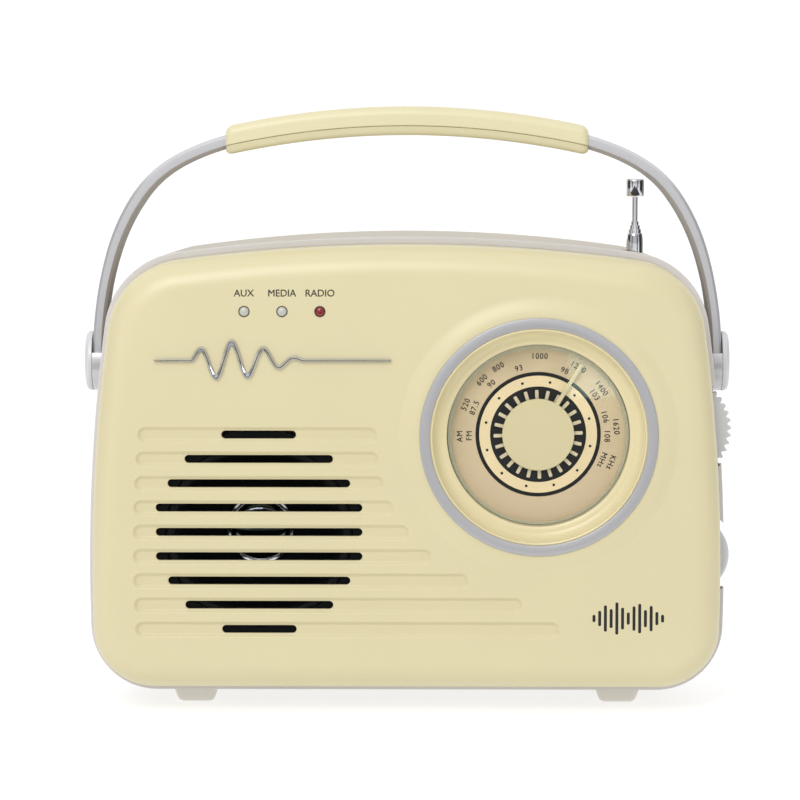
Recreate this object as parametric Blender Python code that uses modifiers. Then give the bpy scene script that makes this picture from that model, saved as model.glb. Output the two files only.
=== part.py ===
"""Tabletop radio with a swinging handle, a telescopic antenna and two thumbwheels.

Frame: X to the right seen from the front, the front faces -Y, Z up. The origin is under the middle of the
radio, on the surface that its feet stand on. Lengths below are in millimetres. mesh_object() turns them
into metres, so every object in the scene is in metres.
"""

import math

import bmesh
import bpy
from mathutils import Matrix, Vector

MM = 0.001
GAP = 0.3  # between pieces that touch

# Cabinet, seen from the front: four arcs joined by fillets, on a flat base.
HALF_WIDTH = 140.0
WIDEST_Z = 60.0  # height where the sides are furthest apart
SIDE_RADIUS = 800.0
TOP_RADIUS = 755.0
SHELL_TOP_Z = 207.5
SHELL_BASE_Z = 7.8
TOP_FILLET = 36.0
BASE_FILLET = 28.0

# Cabinet, front to back.
FACE_Y = -50.0
SEAM_Y = -22.0
BACK_Y = 50.5
WALL = 3.0
LIP = 1.8  # the rear housing stands this far proud of the front shell
FACE_ROUND = 12.5
BACK_ROUND = 10.0
SIDE_DRAFT = 7.5  # how much each side of the housing draws in towards its back

# Dial.
DIAL_X, DIAL_Z = 57.9, 123.0
RING_OUTER, RING_INNER = 52.05, 47.5
BOSS_FOOT, BOSS_TOP = 62.0, 53.0
BOSS_HEIGHT = 1.2
DIAL_HOLE = 49.3
FUNNEL_INNER = 40.1
LENS_RADIUS = 39.8
PLATE_Y = -38.2
POINTER_HUB = 15.8
POINTER_TIP = 36.4
POINTER_ANGLE = 31.5  # degrees clockwise from straight up

# Loudspeaker and its grille of nine grooves.
SPEAKER_X, SPEAKER_Z = -64.5, 80.0
GRILLE_X, GRILLE_Z = -64.3, 81.8
GRILLE_ROWS = 9
GRILLE_PITCH = 10.72
GROOVE_HEIGHT = 6.4
GROOVE_DEPTH = 1.5
GROOVE_LEFT = -119.4
GROOVE_DIAL_CLEARANCE = 70.6  # grooves stop this far from the dial's centre
LONG_GROOVE_ENDS = (51.0, 67.0)  # the two lowest grooves run under the dial
SLOT_HEIGHT = 3.5
SLOT_HALF_LENGTHS = (16.3, 32.4, 39.9, 45.2, 45.2)  # from the top row to the middle one

# Front details.
LAMP_XS = (-70.4, -53.9, -37.4)
LAMP_Z = 177.7
LAMP_RADIUS = 2.35
EMBLEM_Z = 156.4
EMBLEM_ENDS = (-109.7, -6.5)
EMBLEM_WAVE = (-93.2, -44.3)
EMBLEM_RADIUS = 0.85
WAVE_HEIGHT, WAVE_COUNT = 11.0, 3.5

# Handle.
PIVOT_Y, PIVOT_Z = 4.9, 151.9
STRAP_THICKNESS = 5.4
STRAP_DEPTH = 20.0
HUB_RADIUS = 13.4
HUB_INNER_X, HUB_SPLIT_X, HUB_OUTER_X = 136.3, 141.2, 145.3
PIN_RADIUS = 4.0
GRIP_HALF = 81.0
GRIP_DEPTH = 25.0
GRIP_TOP_Z, GRIP_END_Z = 266.1, 257.2
GRIP_BASE_Z, GRIP_BASE_END_Z = 253.4, 244.4
GRIP_SPLIT = 4.2  # the liner's height under the parting line
# Outer edge of the strap's right half, from the hub to the middle of the top.
STRAP_EDGE = (
    (141.1, 152.0),
    (140.6, 166.0),
    (138.6, 183.0),
    (134.4, 201.6),
    (128.8, 215.9),
    (120.5, 229.5),
    (107.2, 242.6),
    (80.5, 253.7),
    (45.0, 259.8),
    (0.0, 261.6),
)

# Thumbwheels, on axes that run front to back.
WHEEL_FRONT_Y, WHEEL_BACK_Y = -20.2, -13.4
TUNING_X, TUNING_Z, TUNING_RADIUS = 120.45, 123.5, 23.75
TUNING_TEETH = 43
TOOTH_DEPTH = 1.6
VOLUME_X, VOLUME_Z, VOLUME_RADIUS = 126.7, 67.2, 17.0
SHAFT_RADIUS = 2.5
SHAFT_HOLE = 2.8

# Dial cord drive.
CORD_Y = -32.0
CORD_WIDTH, CORD_THICKNESS = 1.0, 0.9
PULLEY_GROOVE, DRUM_GROOVE = 16.75, 8.0
FLANGE_RISE = 1.5

# Antenna: outer and bore radius, lowest and highest point of each tube.
ANTENNA_X, ANTENNA_Y = 101.4, -9.3
ANTENNA_TUBES = (
    (3.6, 3.0, 62.0, 210.0),
    (2.85, 2.45, 64.0, 211.8),
    (2.3, 1.85, 66.0, 213.5),
    (1.7, 1.35, 68.0, 215.3),
)
ROD_RADIUS, ROD_BASE_Z = 1.2, 72.0
TIP_RADIUS, TIP_BASE_Z, TIP_TOP_Z = 3.75, 226.4, 234.1

# Back of the housing: battery door, mains inlet, sockets, switches and buttons.
DOOR_HALF, DOOR_BASE_Z, DOOR_TOP_Z = 53.0, 22.0, 84.0
DOOR_THICKNESS = 2.2
DOOR_GAP = 0.7
TRAY_FRONT_Y = 23.0
INLET_X, INLET_Z, INLET_WIDTH, INLET_HEIGHT = -92.0, 66.0, 24.0, 16.0
USB_X, USB_Z, USB_WIDTH, USB_HEIGHT = 102.0, 112.0, 14.5, 7.2
CARD_X, CARD_Z, CARD_WIDTH, CARD_HEIGHT = 75.0, 112.0, 27.0, 4.6
JACK_X, JACK_Z, JACK_RADIUS, JACK_BORE = 104.0, 129.0, 4.0, 1.8
SOCKET_FRONT_Y, SOCKET_BACK_Y = 35.0, 50.3
SWITCH_X = 74.0
STEM_WIDTH, STEM_HEIGHT, STEM_PLAY = 4.6, 2.8, 0.5
FUNCTION_Z, BAND_Z = 147.0, 129.0
FUNCTION_TRAVEL, BAND_TRAVEL = 8.0, 6.0
BUTTON_XS = (114.0, 103.0, 92.0)  # from left to right as seen from the back
BUTTON_Z = 147.0
BUTTON_RADIUS = 3.6
VENT_X, VENT_Z, VENT_HALF, VENT_ROWS, VENT_PITCH = -66.0, 150.0, 34.0, 6, 7.5

# Fasteners and feet.
POSTS = ((-112.0, 30.0), (112.0, 30.0), (-75.0, 188.0), (75.0, 188.0))
POST_RADIUS = 4.0
SCREW_HEAD, SCREW_SHANK = 3.2, 1.5
FOOT_X = 94.5
FOOT_YS = (-10.0, 36.0)
FOOT_TOP, FOOT_SOLE, FOOT_LENGTH = 19.9, 15.4, 14.0

ROUND = 24  # sides of a large turned piece
SHARP_ANGLE = 35.0  # edges sharper than this aren't shaded smooth


# ---------------------------------------------------------------- scene, materials, objects


def clear_scene():
    for obj in list(bpy.data.objects):
        bpy.data.objects.remove(obj)


def new_collection(name):
    collection = bpy.data.collections.new(name)
    bpy.context.scene.collection.children.link(collection)
    return collection


def plastic_or_metal(name, colour, roughness=0.5, metallic=0.0):
    """A Principled material. The colour is linear red, green, blue."""
    material = bpy.data.materials.new(name)
    material.use_nodes = True
    shader = material.node_tree.nodes["Principled BSDF"]
    shader.inputs["Base Color"].default_value = (*colour, 1.0)
    shader.inputs["Roughness"].default_value = roughness
    shader.inputs["Metallic"].default_value = metallic
    material.diffuse_color = (*colour, 1.0)
    return material


clear_scene()
PARTS = new_collection("tabletop_radio")
CUTTERS = new_collection("cutters")

CREAM = plastic_or_metal("cream_plastic", (0.76, 0.68, 0.43), 0.42)
GREY = plastic_or_metal("grey_beige_plastic", (0.60, 0.56, 0.50), 0.5)
SILVER = plastic_or_metal("silver_paint", (0.50, 0.50, 0.56), 0.38, 0.5)
CHROME = plastic_or_metal("chrome", (0.80, 0.80, 0.82), 0.08, 1.0)
STEEL = plastic_or_metal("steel", (0.55, 0.55, 0.56), 0.3, 1.0)
CLEAR = plastic_or_metal("clear_lens", (0.80, 0.86, 0.85), 0.05)
BEIGE = plastic_or_metal("printed_plate", (0.66, 0.49, 0.31), 0.5)
BLACK = plastic_or_metal("black_plastic", (0.02, 0.02, 0.02), 0.5)
PAPER = plastic_or_metal("black_paper", (0.03, 0.03, 0.035), 0.8)
BOARD = plastic_or_metal("circuit_board", (0.35, 0.22, 0.10), 0.6)
COPPER = plastic_or_metal("copper", (0.60, 0.28, 0.14), 0.35, 1.0)
FERRITE = plastic_or_metal("ferrite", (0.04, 0.04, 0.045), 0.55)
LAMP_OFF = plastic_or_metal("lamp_grey", (0.55, 0.55, 0.53), 0.3)
LAMP_RED = plastic_or_metal("lamp_red", (0.20, 0.02, 0.03), 0.25)


def mesh_object(name, mesh_edit, material=None, collection=None):
    """An object from a bmesh in millimetres, smooth except at its sharper edges."""
    bmesh.ops.scale(mesh_edit, vec=(MM, MM, MM), verts=mesh_edit.verts)
    mesh = bpy.data.meshes.new(name)
    mesh_edit.to_mesh(mesh)
    mesh_edit.free()
    mesh.shade_smooth()
    mesh.set_sharp_from_angle(angle=math.radians(SHARP_ANGLE))
    obj = bpy.data.objects.new(name, mesh)
    (collection or PARTS).objects.link(obj)
    if collection is CUTTERS:
        obj.hide_render = True
        obj.display_type = "WIRE"
    if material:
        mesh.materials.append(material)
    return obj


def boolean(target, tool, operation="DIFFERENCE"):
    modifier = target.modifiers.new(operation.lower(), "BOOLEAN")
    modifier.operation = operation
    modifier.solver = "EXACT"
    modifier.object = tool
    return target


def hang_from(name, place, objects):
    """Parents a moving body's objects to an empty on its joint axis, without moving them."""
    empty = bpy.data.objects.new(name, None)
    PARTS.objects.link(empty)
    empty.location = Vector(place) * MM
    inverse = Matrix.Translation(-empty.location)
    for obj in objects:
        obj.parent = empty
        obj.matrix_parent_inverse = inverse


# ---------------------------------------------------------------- outlines, as lists of (x, z)


def arc(centre_x, centre_z, radius, start, end, steps):
    """Points from `start` to `end` degrees, counted from +X towards +Z, both ends included."""
    turns = [math.radians(start + (end - start) * i / steps) for i in range(steps + 1)]
    return [(centre_x + radius * math.cos(a), centre_z + radius * math.sin(a)) for a in turns]


def circle_crossing(first, first_radius, second, second_radius):
    """The crossing of two circles that lies furthest from the origin of X."""
    dx, dz = second[0] - first[0], second[1] - first[1]
    apart = math.hypot(dx, dz)
    along = (apart**2 + first_radius**2 - second_radius**2) / (2 * apart)
    aside = math.sqrt(first_radius**2 - along**2)
    found = []
    for sign in (1, -1):
        x = first[0] + (along * dx - sign * aside * dz) / apart
        z = first[1] + (along * dz + sign * aside * dx) / apart
        found.append((x, z))
    return max(found)


def angle_from(centre, point):
    return math.degrees(math.atan2(point[1] - centre[1], point[0] - centre[0]))


def cabinet_outline(grow, side_steps=5, fillet_steps=6, top_steps=5):
    """The cabinet's outline from the front, anticlockwise, pushed outwards by `grow`."""
    side = (HALF_WIDTH - SIDE_RADIUS, WIDEST_Z)
    top = (0.0, SHELL_TOP_Z - TOP_RADIUS)
    upper = circle_crossing(side, SIDE_RADIUS - TOP_FILLET, top, TOP_RADIUS - TOP_FILLET)
    lower_z = SHELL_BASE_Z + BASE_FILLET
    reach = SIDE_RADIUS - BASE_FILLET
    lower = (side[0] + math.sqrt(reach**2 - (lower_z - WIDEST_Z) ** 2), lower_z)
    base_turn, side_turn = angle_from(side, lower), angle_from(side, upper)
    top_turn = angle_from(top, upper)
    right = arc(*lower, BASE_FILLET + grow, -90, base_turn, fillet_steps)
    right += arc(*side, SIDE_RADIUS + grow, base_turn, side_turn, side_steps)[1:]
    right += arc(*upper, TOP_FILLET + grow, side_turn, top_turn, fillet_steps)[1:]
    right += arc(*top, TOP_RADIUS + grow, top_turn, 90, top_steps)[1:]
    left = [(-x, z) for x, z in reversed(right[:-1])]
    return right + left


def pill(left, right, middle_z, height, steps=4):
    """A slot shape with round ends that touch `left` and `right`."""
    radius = height / 2
    ends = arc(right - radius, middle_z, radius, -90, 90, steps)
    return ends + arc(left + radius, middle_z, radius, 90, 270, steps)


def rectangle(middle_x, middle_z, width, height):
    x, z = width / 2, height / 2
    return [(middle_x + sx * x, middle_z + sz * z) for sx, sz in ((-1, -1), (1, -1), (1, 1), (-1, 1))]


def smooth_path(points, steps):
    """A Catmull-Rom curve through the points, `steps` pieces to each stretch."""
    vectors = [Vector(p) for p in points]
    before = 2 * vectors[0] - vectors[1]
    after = 2 * vectors[-1] - vectors[-2]
    padded = [before, *vectors, after]
    found = []
    for a, b, c, d in zip(padded, padded[1:], padded[2:], padded[3:]):
        for i in range(steps):
            t = i / steps
            square = (2 * a - 5 * b + 4 * c - d) * t**2
            cube = (3 * b - a - 3 * c + d) * t**3
            found.append((2 * b + (c - a) * t + square + cube) / 2)
    return found + [vectors[-1]]


def offset_path(points, distance):
    """An open path moved to the left of its direction by `distance`."""
    moved = []
    for i, point in enumerate(points):
        along = points[min(i + 1, len(points) - 1)] - points[max(i - 1, 0)]
        normal = Vector((-along.y, along.x)).normalized()
        moved.append(point + normal * distance)
    return moved


# ---------------------------------------------------------------- solids


def slab(bm, outline, front, back, round_front=0.0, round_back=0.0, segments=4):
    """Adds an outline that is extruded from y=front to y=back, with its rims rounded."""
    corners = [bm.verts.new((x, front, z)) for x, z in outline]
    cap = bm.faces.new(corners)
    rim_front = list(cap.edges)
    moved = bmesh.ops.extrude_face_region(bm, geom=[cap])
    rear = [item for item in moved["geom"] if isinstance(item, bmesh.types.BMVert)]
    rear_face = next(item for item in moved["geom"] if isinstance(item, bmesh.types.BMFace))
    rim_back = list(rear_face.edges)
    bmesh.ops.translate(bm, vec=(0, back - front, 0), verts=rear)
    for edges, width in ((rim_front, round_front), (rim_back, round_back)):
        if width:
            bmesh.ops.bevel(bm, geom=edges, offset=width, segments=segments, profile=0.5, affect="EDGES")
    bmesh.ops.recalc_face_normals(bm, faces=bm.faces)
    return bm


def slab_object(name, outlines, front, back, material=None, collection=None, **rounding):
    """One object from one outline or several that don't touch."""
    bm = bmesh.new()
    for outline in outlines:
        piece = slab(bmesh.new(), outline, front, back, **rounding)
        mesh = bpy.data.meshes.new("piece")
        piece.to_mesh(mesh)
        piece.free()
        bm.from_mesh(mesh)
        bpy.data.meshes.remove(mesh)
    return mesh_object(name, bm, material, collection)


def box_object(name, low, high, material=None, collection=None):
    bm = bmesh.new()
    bmesh.ops.create_cube(bm, size=1.0)
    size = Vector(high) - Vector(low)
    bmesh.ops.scale(bm, vec=size, verts=bm.verts)
    bmesh.ops.translate(bm, vec=(Vector(high) + Vector(low)) / 2, verts=bm.verts)
    return mesh_object(name, bm, material, collection)


AXIS_TURNS = {
    "Z": Matrix.Identity(4),
    "Y": Matrix.Rotation(math.radians(-90), 4, "X"),
    "X": Matrix.Rotation(math.radians(90), 4, "Y"),
}


def down_the_outside(profile):
    """The profile in the order that makes a turned shape face outwards: down its outer side."""
    around = zip(profile, profile[1:] + profile[:1])
    area = sum(r1 * h2 - r2 * h1 for (r1, h1), (r2, h2) in around)
    return profile if area < 0 else profile[::-1]


def turned(name, profile, axis, place, material=None, collection=None, sides=ROUND, closed=False):
    """A profile of (radius, height along the axis), turned about the axis through `place`.

    An open profile starts and ends on the axis. A closed one makes a ring.
    """
    bm = bmesh.new()
    corners = [bm.verts.new((radius, 0, height)) for radius, height in down_the_outside(profile)]
    for first, second in zip(corners, corners[1:]):
        bm.edges.new((first, second))
    if closed:
        bm.edges.new((corners[-1], corners[0]))
    obj = mesh_object(name, bm, material, collection)
    screw = obj.modifiers.new("turn", "SCREW")
    screw.steps = sides
    screw.render_steps = sides
    screw.use_merge_vertices = True
    screw.merge_threshold = 0.00001
    obj.matrix_world = Matrix.Translation(Vector(place) * MM) @ AXIS_TURNS[axis]
    return obj


def cylinder(name, radius, low, high, axis, place, material=None, collection=None, sides=24):
    profile = [(0, high), (radius, high), (radius, low), (0, low)]
    return turned(name, profile, axis, place, material, collection, sides)


def tube(name, outer, bore, low, high, axis, place, material=None, collection=None, sides=24):
    profile = [(outer, high), (outer, low), (bore, low), (bore, high)]
    return turned(name, profile, axis, place, material, collection, sides, closed=True)


# ---------------------------------------------------------------- front shell and what is set in it


def draw_in_sides(obj):
    """Narrows the housing evenly from the seam to its back."""
    for vertex in obj.data.vertices:
        share = (vertex.co.y / MM - SEAM_Y) / (BACK_Y - SEAM_Y)
        vertex.co.x *= 1 - max(share, 0.0) * SIDE_DRAFT / HALF_WIDTH
    return obj


def grille_rows():
    """(row number, height, left end, right end, half length of the slot) of each groove."""
    for row in range(GRILLE_ROWS):
        z = GRILLE_Z + GRILLE_PITCH * (GRILLE_ROWS // 2 - row)
        left = GROOVE_LEFT + 0.1 * (row - 5) ** 2
        if row < GRILLE_ROWS - len(LONG_GROOVE_ENDS):
            right = DIAL_X - math.sqrt(GROOVE_DIAL_CLEARANCE**2 - (z - DIAL_Z) ** 2)
        else:
            right = LONG_GROOVE_ENDS[row - GRILLE_ROWS]
        half = SLOT_HALF_LENGTHS[min(row, GRILLE_ROWS - 1 - row)]
        yield row, z, left, right, half


def groove_cutter(left, right, z):
    """A pill-shaped cutter whose walls slope in to a narrower floor."""
    bm = bmesh.new()
    outline = pill(left, right, z, GROOVE_HEIGHT)
    slab(bm, outline, FACE_Y - GROOVE_DEPTH, FACE_Y + GROOVE_DEPTH)
    rim = [e for e in bm.edges if all(v.co.y > FACE_Y for v in e.verts)]
    bmesh.ops.bevel(bm, geom=rim, offset=GROOVE_DEPTH * 0.95, segments=2, profile=0.5, affect="EDGES")
    return bm


def make_front_shell():
    outer = slab_object("front_shell", [cabinet_outline(0)], FACE_Y, SEAM_Y, CREAM, round_front=FACE_ROUND)
    dial = (DIAL_X, 0, DIAL_Z)
    boss_front = FACE_Y - BOSS_HEIGHT
    boss_profile = [
        (0, FACE_Y + WALL / 2),
        (BOSS_FOOT + 2, FACE_Y + WALL / 2),
        (BOSS_FOOT, FACE_Y - 0.05),
        ((BOSS_FOOT + BOSS_TOP) / 2, FACE_Y - BOSS_HEIGHT * 0.55),
        (BOSS_TOP, boss_front),
        (0, boss_front),
    ]
    boolean(outer, turned("boss", boss_profile, "Y", dial, None, CUTTERS, sides=48), "UNION")

    outline = cabinet_outline(-WALL)
    rounding = {"round_front": FACE_ROUND - WALL}
    hollow = slab_object("shell_hollow", [outline], FACE_Y + WALL, SEAM_Y + 5, None, CUTTERS, **rounding)
    boolean(outer, hollow)

    grooves, slots = bmesh.new(), []
    for _, z, left, right, half in grille_rows():
        groove = groove_cutter(left, right, z)
        mesh = bpy.data.meshes.new("groove")
        groove.to_mesh(mesh)
        groove.free()
        grooves.from_mesh(mesh)
        bpy.data.meshes.remove(mesh)
        slots.append(pill(GRILLE_X - half, GRILLE_X + half, z, SLOT_HEIGHT))
    boolean(outer, mesh_object("grooves", grooves, None, CUTTERS))
    boolean(outer, slab_object("slots", slots, FACE_Y - 5, FACE_Y + 8, None, CUTTERS))

    boolean(outer, cylinder("dial_hole", DIAL_HOLE, FACE_Y - 5, FACE_Y + 8, "Y", dial, None, CUTTERS, 40))
    for x in LAMP_XS:
        place = (x, 0, LAMP_Z)
        radius = LAMP_RADIUS + GAP
        boolean(outer, cylinder("lamp_hole", radius, FACE_Y - 5, FACE_Y + 8, "Y", place, None, CUTTERS, 12))
    post_front, post_back = FACE_Y + WALL / 2, BACK_Y - WALL - GAP
    for x, z in POSTS:
        place = (x, 0, z)
        post = cylinder("post", POST_RADIUS, post_front, post_back, "Y", place, None, CUTTERS, 12)
        boolean(outer, post, "UNION")
        bore = cylinder("post_bore", SCREW_SHANK + GAP, BACK_Y - 18, BACK_Y, "Y", place, None, CUTTERS, 8)
        boolean(outer, bore)
    return outer


def make_dial():
    place = (DIAL_X, 0, DIAL_Z)
    ring_front = FACE_Y - 2.5
    boss_front = FACE_Y - BOSS_HEIGHT
    tube("dial_trim_ring", RING_OUTER, RING_INNER, ring_front, boss_front - GAP, "Y", place, SILVER, sides=48)

    lip_y = ring_front + 0.6
    lens_y = FACE_Y + 5.3  # the lens's front face
    spread, depth = RING_INNER - 0.6 - FUNNEL_INNER, lens_y - lip_y
    turns = [math.radians(22.5 * i) for i in range(5)]
    funnel = [(FUNNEL_INNER + spread * math.cos(a), lip_y + depth * math.sin(a)) for a in turns]
    shell_inside = FACE_Y + WALL + GAP
    bezel = [
        (FUNNEL_INNER, PLATE_Y + 1.4),
        (FUNNEL_INNER + 2.5, PLATE_Y + 1.4),
        (FUNNEL_INNER + 2.5, shell_inside + 1.7),
        (DIAL_HOLE + 3.3, shell_inside + 1.7),
        (DIAL_HOLE + 3.3, shell_inside),
        (DIAL_HOLE - GAP, shell_inside),
        (DIAL_HOLE - GAP, boss_front),
        (RING_INNER - GAP, boss_front),
        (RING_INNER - GAP, lip_y),
        *funnel,
    ]
    turned("dial_bezel", bezel, "Y", place, CREAM, sides=40, closed=True)

    lens = [
        (0, lens_y + 2.9),
        (LENS_RADIUS, lens_y + 2.9),
        (LENS_RADIUS, lens_y + 1.2),
        (LENS_RADIUS - 2.2, lens_y),
        (0, lens_y),
    ]
    turned("dial_lens", lens, "Y", place, CLEAR, sides=40)
    tube("dial_plate", LENS_RADIUS, 2.3, PLATE_Y, PLATE_Y + 1.0, "Y", place, BEIGE, sides=40)


def make_pointer():
    place = (DIAL_X, 0, DIAL_Z)
    front = PLATE_Y - 2.4
    disc_profile = [
        (0, CORD_Y + 2),
        (2.0, CORD_Y + 2),
        (2.0, front + 1.2),
        (POINTER_HUB, front + 1.2),
        (POINTER_HUB, front + 0.2),
        (POINTER_HUB - 0.2, front),
        (0, front),
    ]
    pointer = turned("dial_pointer", disc_profile, "Y", place, CREAM, sides=32)
    low, high = (-1.0, front, POINTER_HUB - 2), (1.0, front + 0.8, POINTER_TIP)
    needle = box_object("needle", low, high, None, CUTTERS)
    turn = Matrix.Rotation(math.radians(POINTER_ANGLE), 4, "Y")
    needle.matrix_world = Matrix.Translation(Vector(place) * MM) @ turn
    boolean(pointer, needle, "UNION")
    pulley = grooved_wheel("pointer_pulley", PULLEY_GROOVE, 2.3, place, BLACK)
    hang_from("pointer_axis", (DIAL_X, CORD_Y, DIAL_Z), [pointer, pulley])


def groove_profile(groove, low_bore, high_bore):
    """The outer side of a flanged wheel in the cord's plane, from its back to its front."""
    flange = groove + FLANGE_RISE
    return [
        (high_bore, CORD_Y + 2),
        (flange, CORD_Y + 2),
        (flange, CORD_Y + 1),
        (groove, CORD_Y + 1),
        (groove, CORD_Y - 1),
        (flange, CORD_Y - 1),
        (flange, CORD_Y - 2),
        (low_bore, CORD_Y - 2),
    ]


def grooved_wheel(name, groove, bore, place, material):
    return turned(name, groove_profile(groove, bore, bore), "Y", place, material, sides=ROUND, closed=True)


def make_dial_cord():
    """A belt that runs round the drum on the tuning shaft and the pulley on the pointer."""
    apart = Vector((TUNING_X - DIAL_X, TUNING_Z - DIAL_Z))
    lean = math.degrees(math.atan2(apart.y, apart.x))
    loops = []
    for grow in (GAP, GAP + CORD_THICKNESS):
        large, small = PULLEY_GROOVE + grow, DRUM_GROOVE + grow
        touch = math.degrees(math.acos((large - small) / apart.length))
        loop = arc(DIAL_X, DIAL_Z, large, lean + touch, lean + 360 - touch, 12)
        loop += arc(TUNING_X, TUNING_Z, small, lean - touch, lean + touch, 8)
        loops.append(loop)
    cord = slab_object("dial_cord", [loops[1]], CORD_Y - CORD_WIDTH / 2, CORD_Y + CORD_WIDTH / 2, BLACK)
    boolean(cord, slab_object("cord_inside", [loops[0]], CORD_Y - 2, CORD_Y + 2, None, CUTTERS))


def make_lamps():
    profile = [
        (0, FACE_Y + 6.5),
        (LAMP_RADIUS, FACE_Y + 6.5),
        (LAMP_RADIUS, FACE_Y + 5.0),
        (LAMP_RADIUS + 0.9, FACE_Y + 5.0),
        (LAMP_RADIUS + 0.9, FACE_Y + WALL + GAP),
        (LAMP_RADIUS, FACE_Y + WALL + GAP),
        (LAMP_RADIUS, FACE_Y + 0.6),
        (LAMP_RADIUS * 0.8, FACE_Y - 0.4),
        (LAMP_RADIUS * 0.4, FACE_Y - 0.9),
        (0, FACE_Y - 1.0),
    ]
    lamps = zip(("aux", "media", "radio"), LAMP_XS, (LAMP_OFF, LAMP_OFF, LAMP_RED))
    for name, x, material in lamps:
        turned(f"led_{name}", profile, "Y", (x, 0, LAMP_Z), material, sides=12)


def emblem_height(x):
    """The trim wire's height: straight at both ends, a fading wave between them."""
    start, end = EMBLEM_WAVE
    share = (x - start) / (end - start)
    if not 0 < share < 1:
        return EMBLEM_Z
    swell = math.sin(math.pi * share) ** 0.6 * (1.15 - share)
    return EMBLEM_Z + WAVE_HEIGHT * swell * math.sin(2 * math.pi * WAVE_COUNT * share)


def make_emblem():
    start, end = EMBLEM_WAVE
    steps = 42
    wave = [start + (end - start) * i / steps for i in range(steps + 1)]
    xs = [EMBLEM_ENDS[0], *wave, EMBLEM_ENDS[1]]
    y = FACE_Y - GAP - EMBLEM_RADIUS
    tube_along("front_emblem", [(x, y, emblem_height(x)) for x in xs], EMBLEM_RADIUS, CHROME)


def tube_along(name, points, radius, material):
    """A wire of round section through the points, made a closed mesh."""
    curve = bpy.data.curves.new(name, "CURVE")
    curve.dimensions = "3D"
    curve.bevel_depth = radius * MM
    curve.bevel_resolution = 1
    curve.use_fill_caps = True
    spline = curve.splines.new("POLY")
    spline.points.add(len(points) - 1)
    for target, point in zip(spline.points, points):
        target.co = (*(Vector(point) * MM), 1.0)
    guide = bpy.data.objects.new(name + "_guide", curve)
    bpy.context.scene.collection.objects.link(guide)
    bpy.context.view_layer.update()
    evaluated = guide.evaluated_get(bpy.context.evaluated_depsgraph_get())
    mesh = bpy.data.meshes.new_from_object(evaluated)
    bm = bmesh.new()
    bm.from_mesh(mesh)
    bmesh.ops.remove_doubles(bm, verts=bm.verts, dist=0.00001)
    bmesh.ops.recalc_face_normals(bm, faces=bm.faces)
    bmesh.ops.scale(bm, vec=(1 / MM, 1 / MM, 1 / MM), verts=bm.verts)
    bpy.data.objects.remove(guide)
    bpy.data.meshes.remove(mesh)
    return mesh_object(name, bm, material)


def make_speaker():
    place = (SPEAKER_X, 0, SPEAKER_Z)
    rim = FACE_Y + WALL + GAP
    frame = [
        (15.0, rim + 23.0),
        (29.0, rim + 23.0),
        (29.0, rim + 22.2),
        (43.0, rim + 1.8),
        (46.0, rim + 1.8),
        (46.0, rim),
        (41.4, rim),
        (27.2, rim + 21.4),
        (15.0, rim + 21.4),
    ]
    turned("speaker_frame", frame, "Y", place, STEEL, sides=24, closed=True)
    cone = [
        (13.0, rim + 19.2),
        (40.6, rim + 0.9),
        (40.6, rim + 0.3),
        (37.0, rim + 0.8),
        (36.0, rim + 2.6),
        (13.0, rim + 18.4),
    ]
    turned("speaker_cone", cone, "Y", place, PAPER, sides=24, closed=True)
    cap_back, cap_radius, cap_rise, steps = rim + 16.4, 15.0, 6.0, 4
    turns = [math.radians(90 * (1 - i / steps)) for i in range(steps)]
    dome = [(cap_radius * math.sin(a), cap_back - cap_rise * math.cos(a)) for a in turns]
    turned("speaker_dust_cap", [(0, cap_back), *dome, (0, cap_back - cap_rise)], "Y", place, CHROME, sides=20)
    cylinder("speaker_magnet", 27.0, rim + 23.3, rim + 38.7, "Y", place, FERRITE)


# ---------------------------------------------------------------- rear housing and its back


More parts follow.
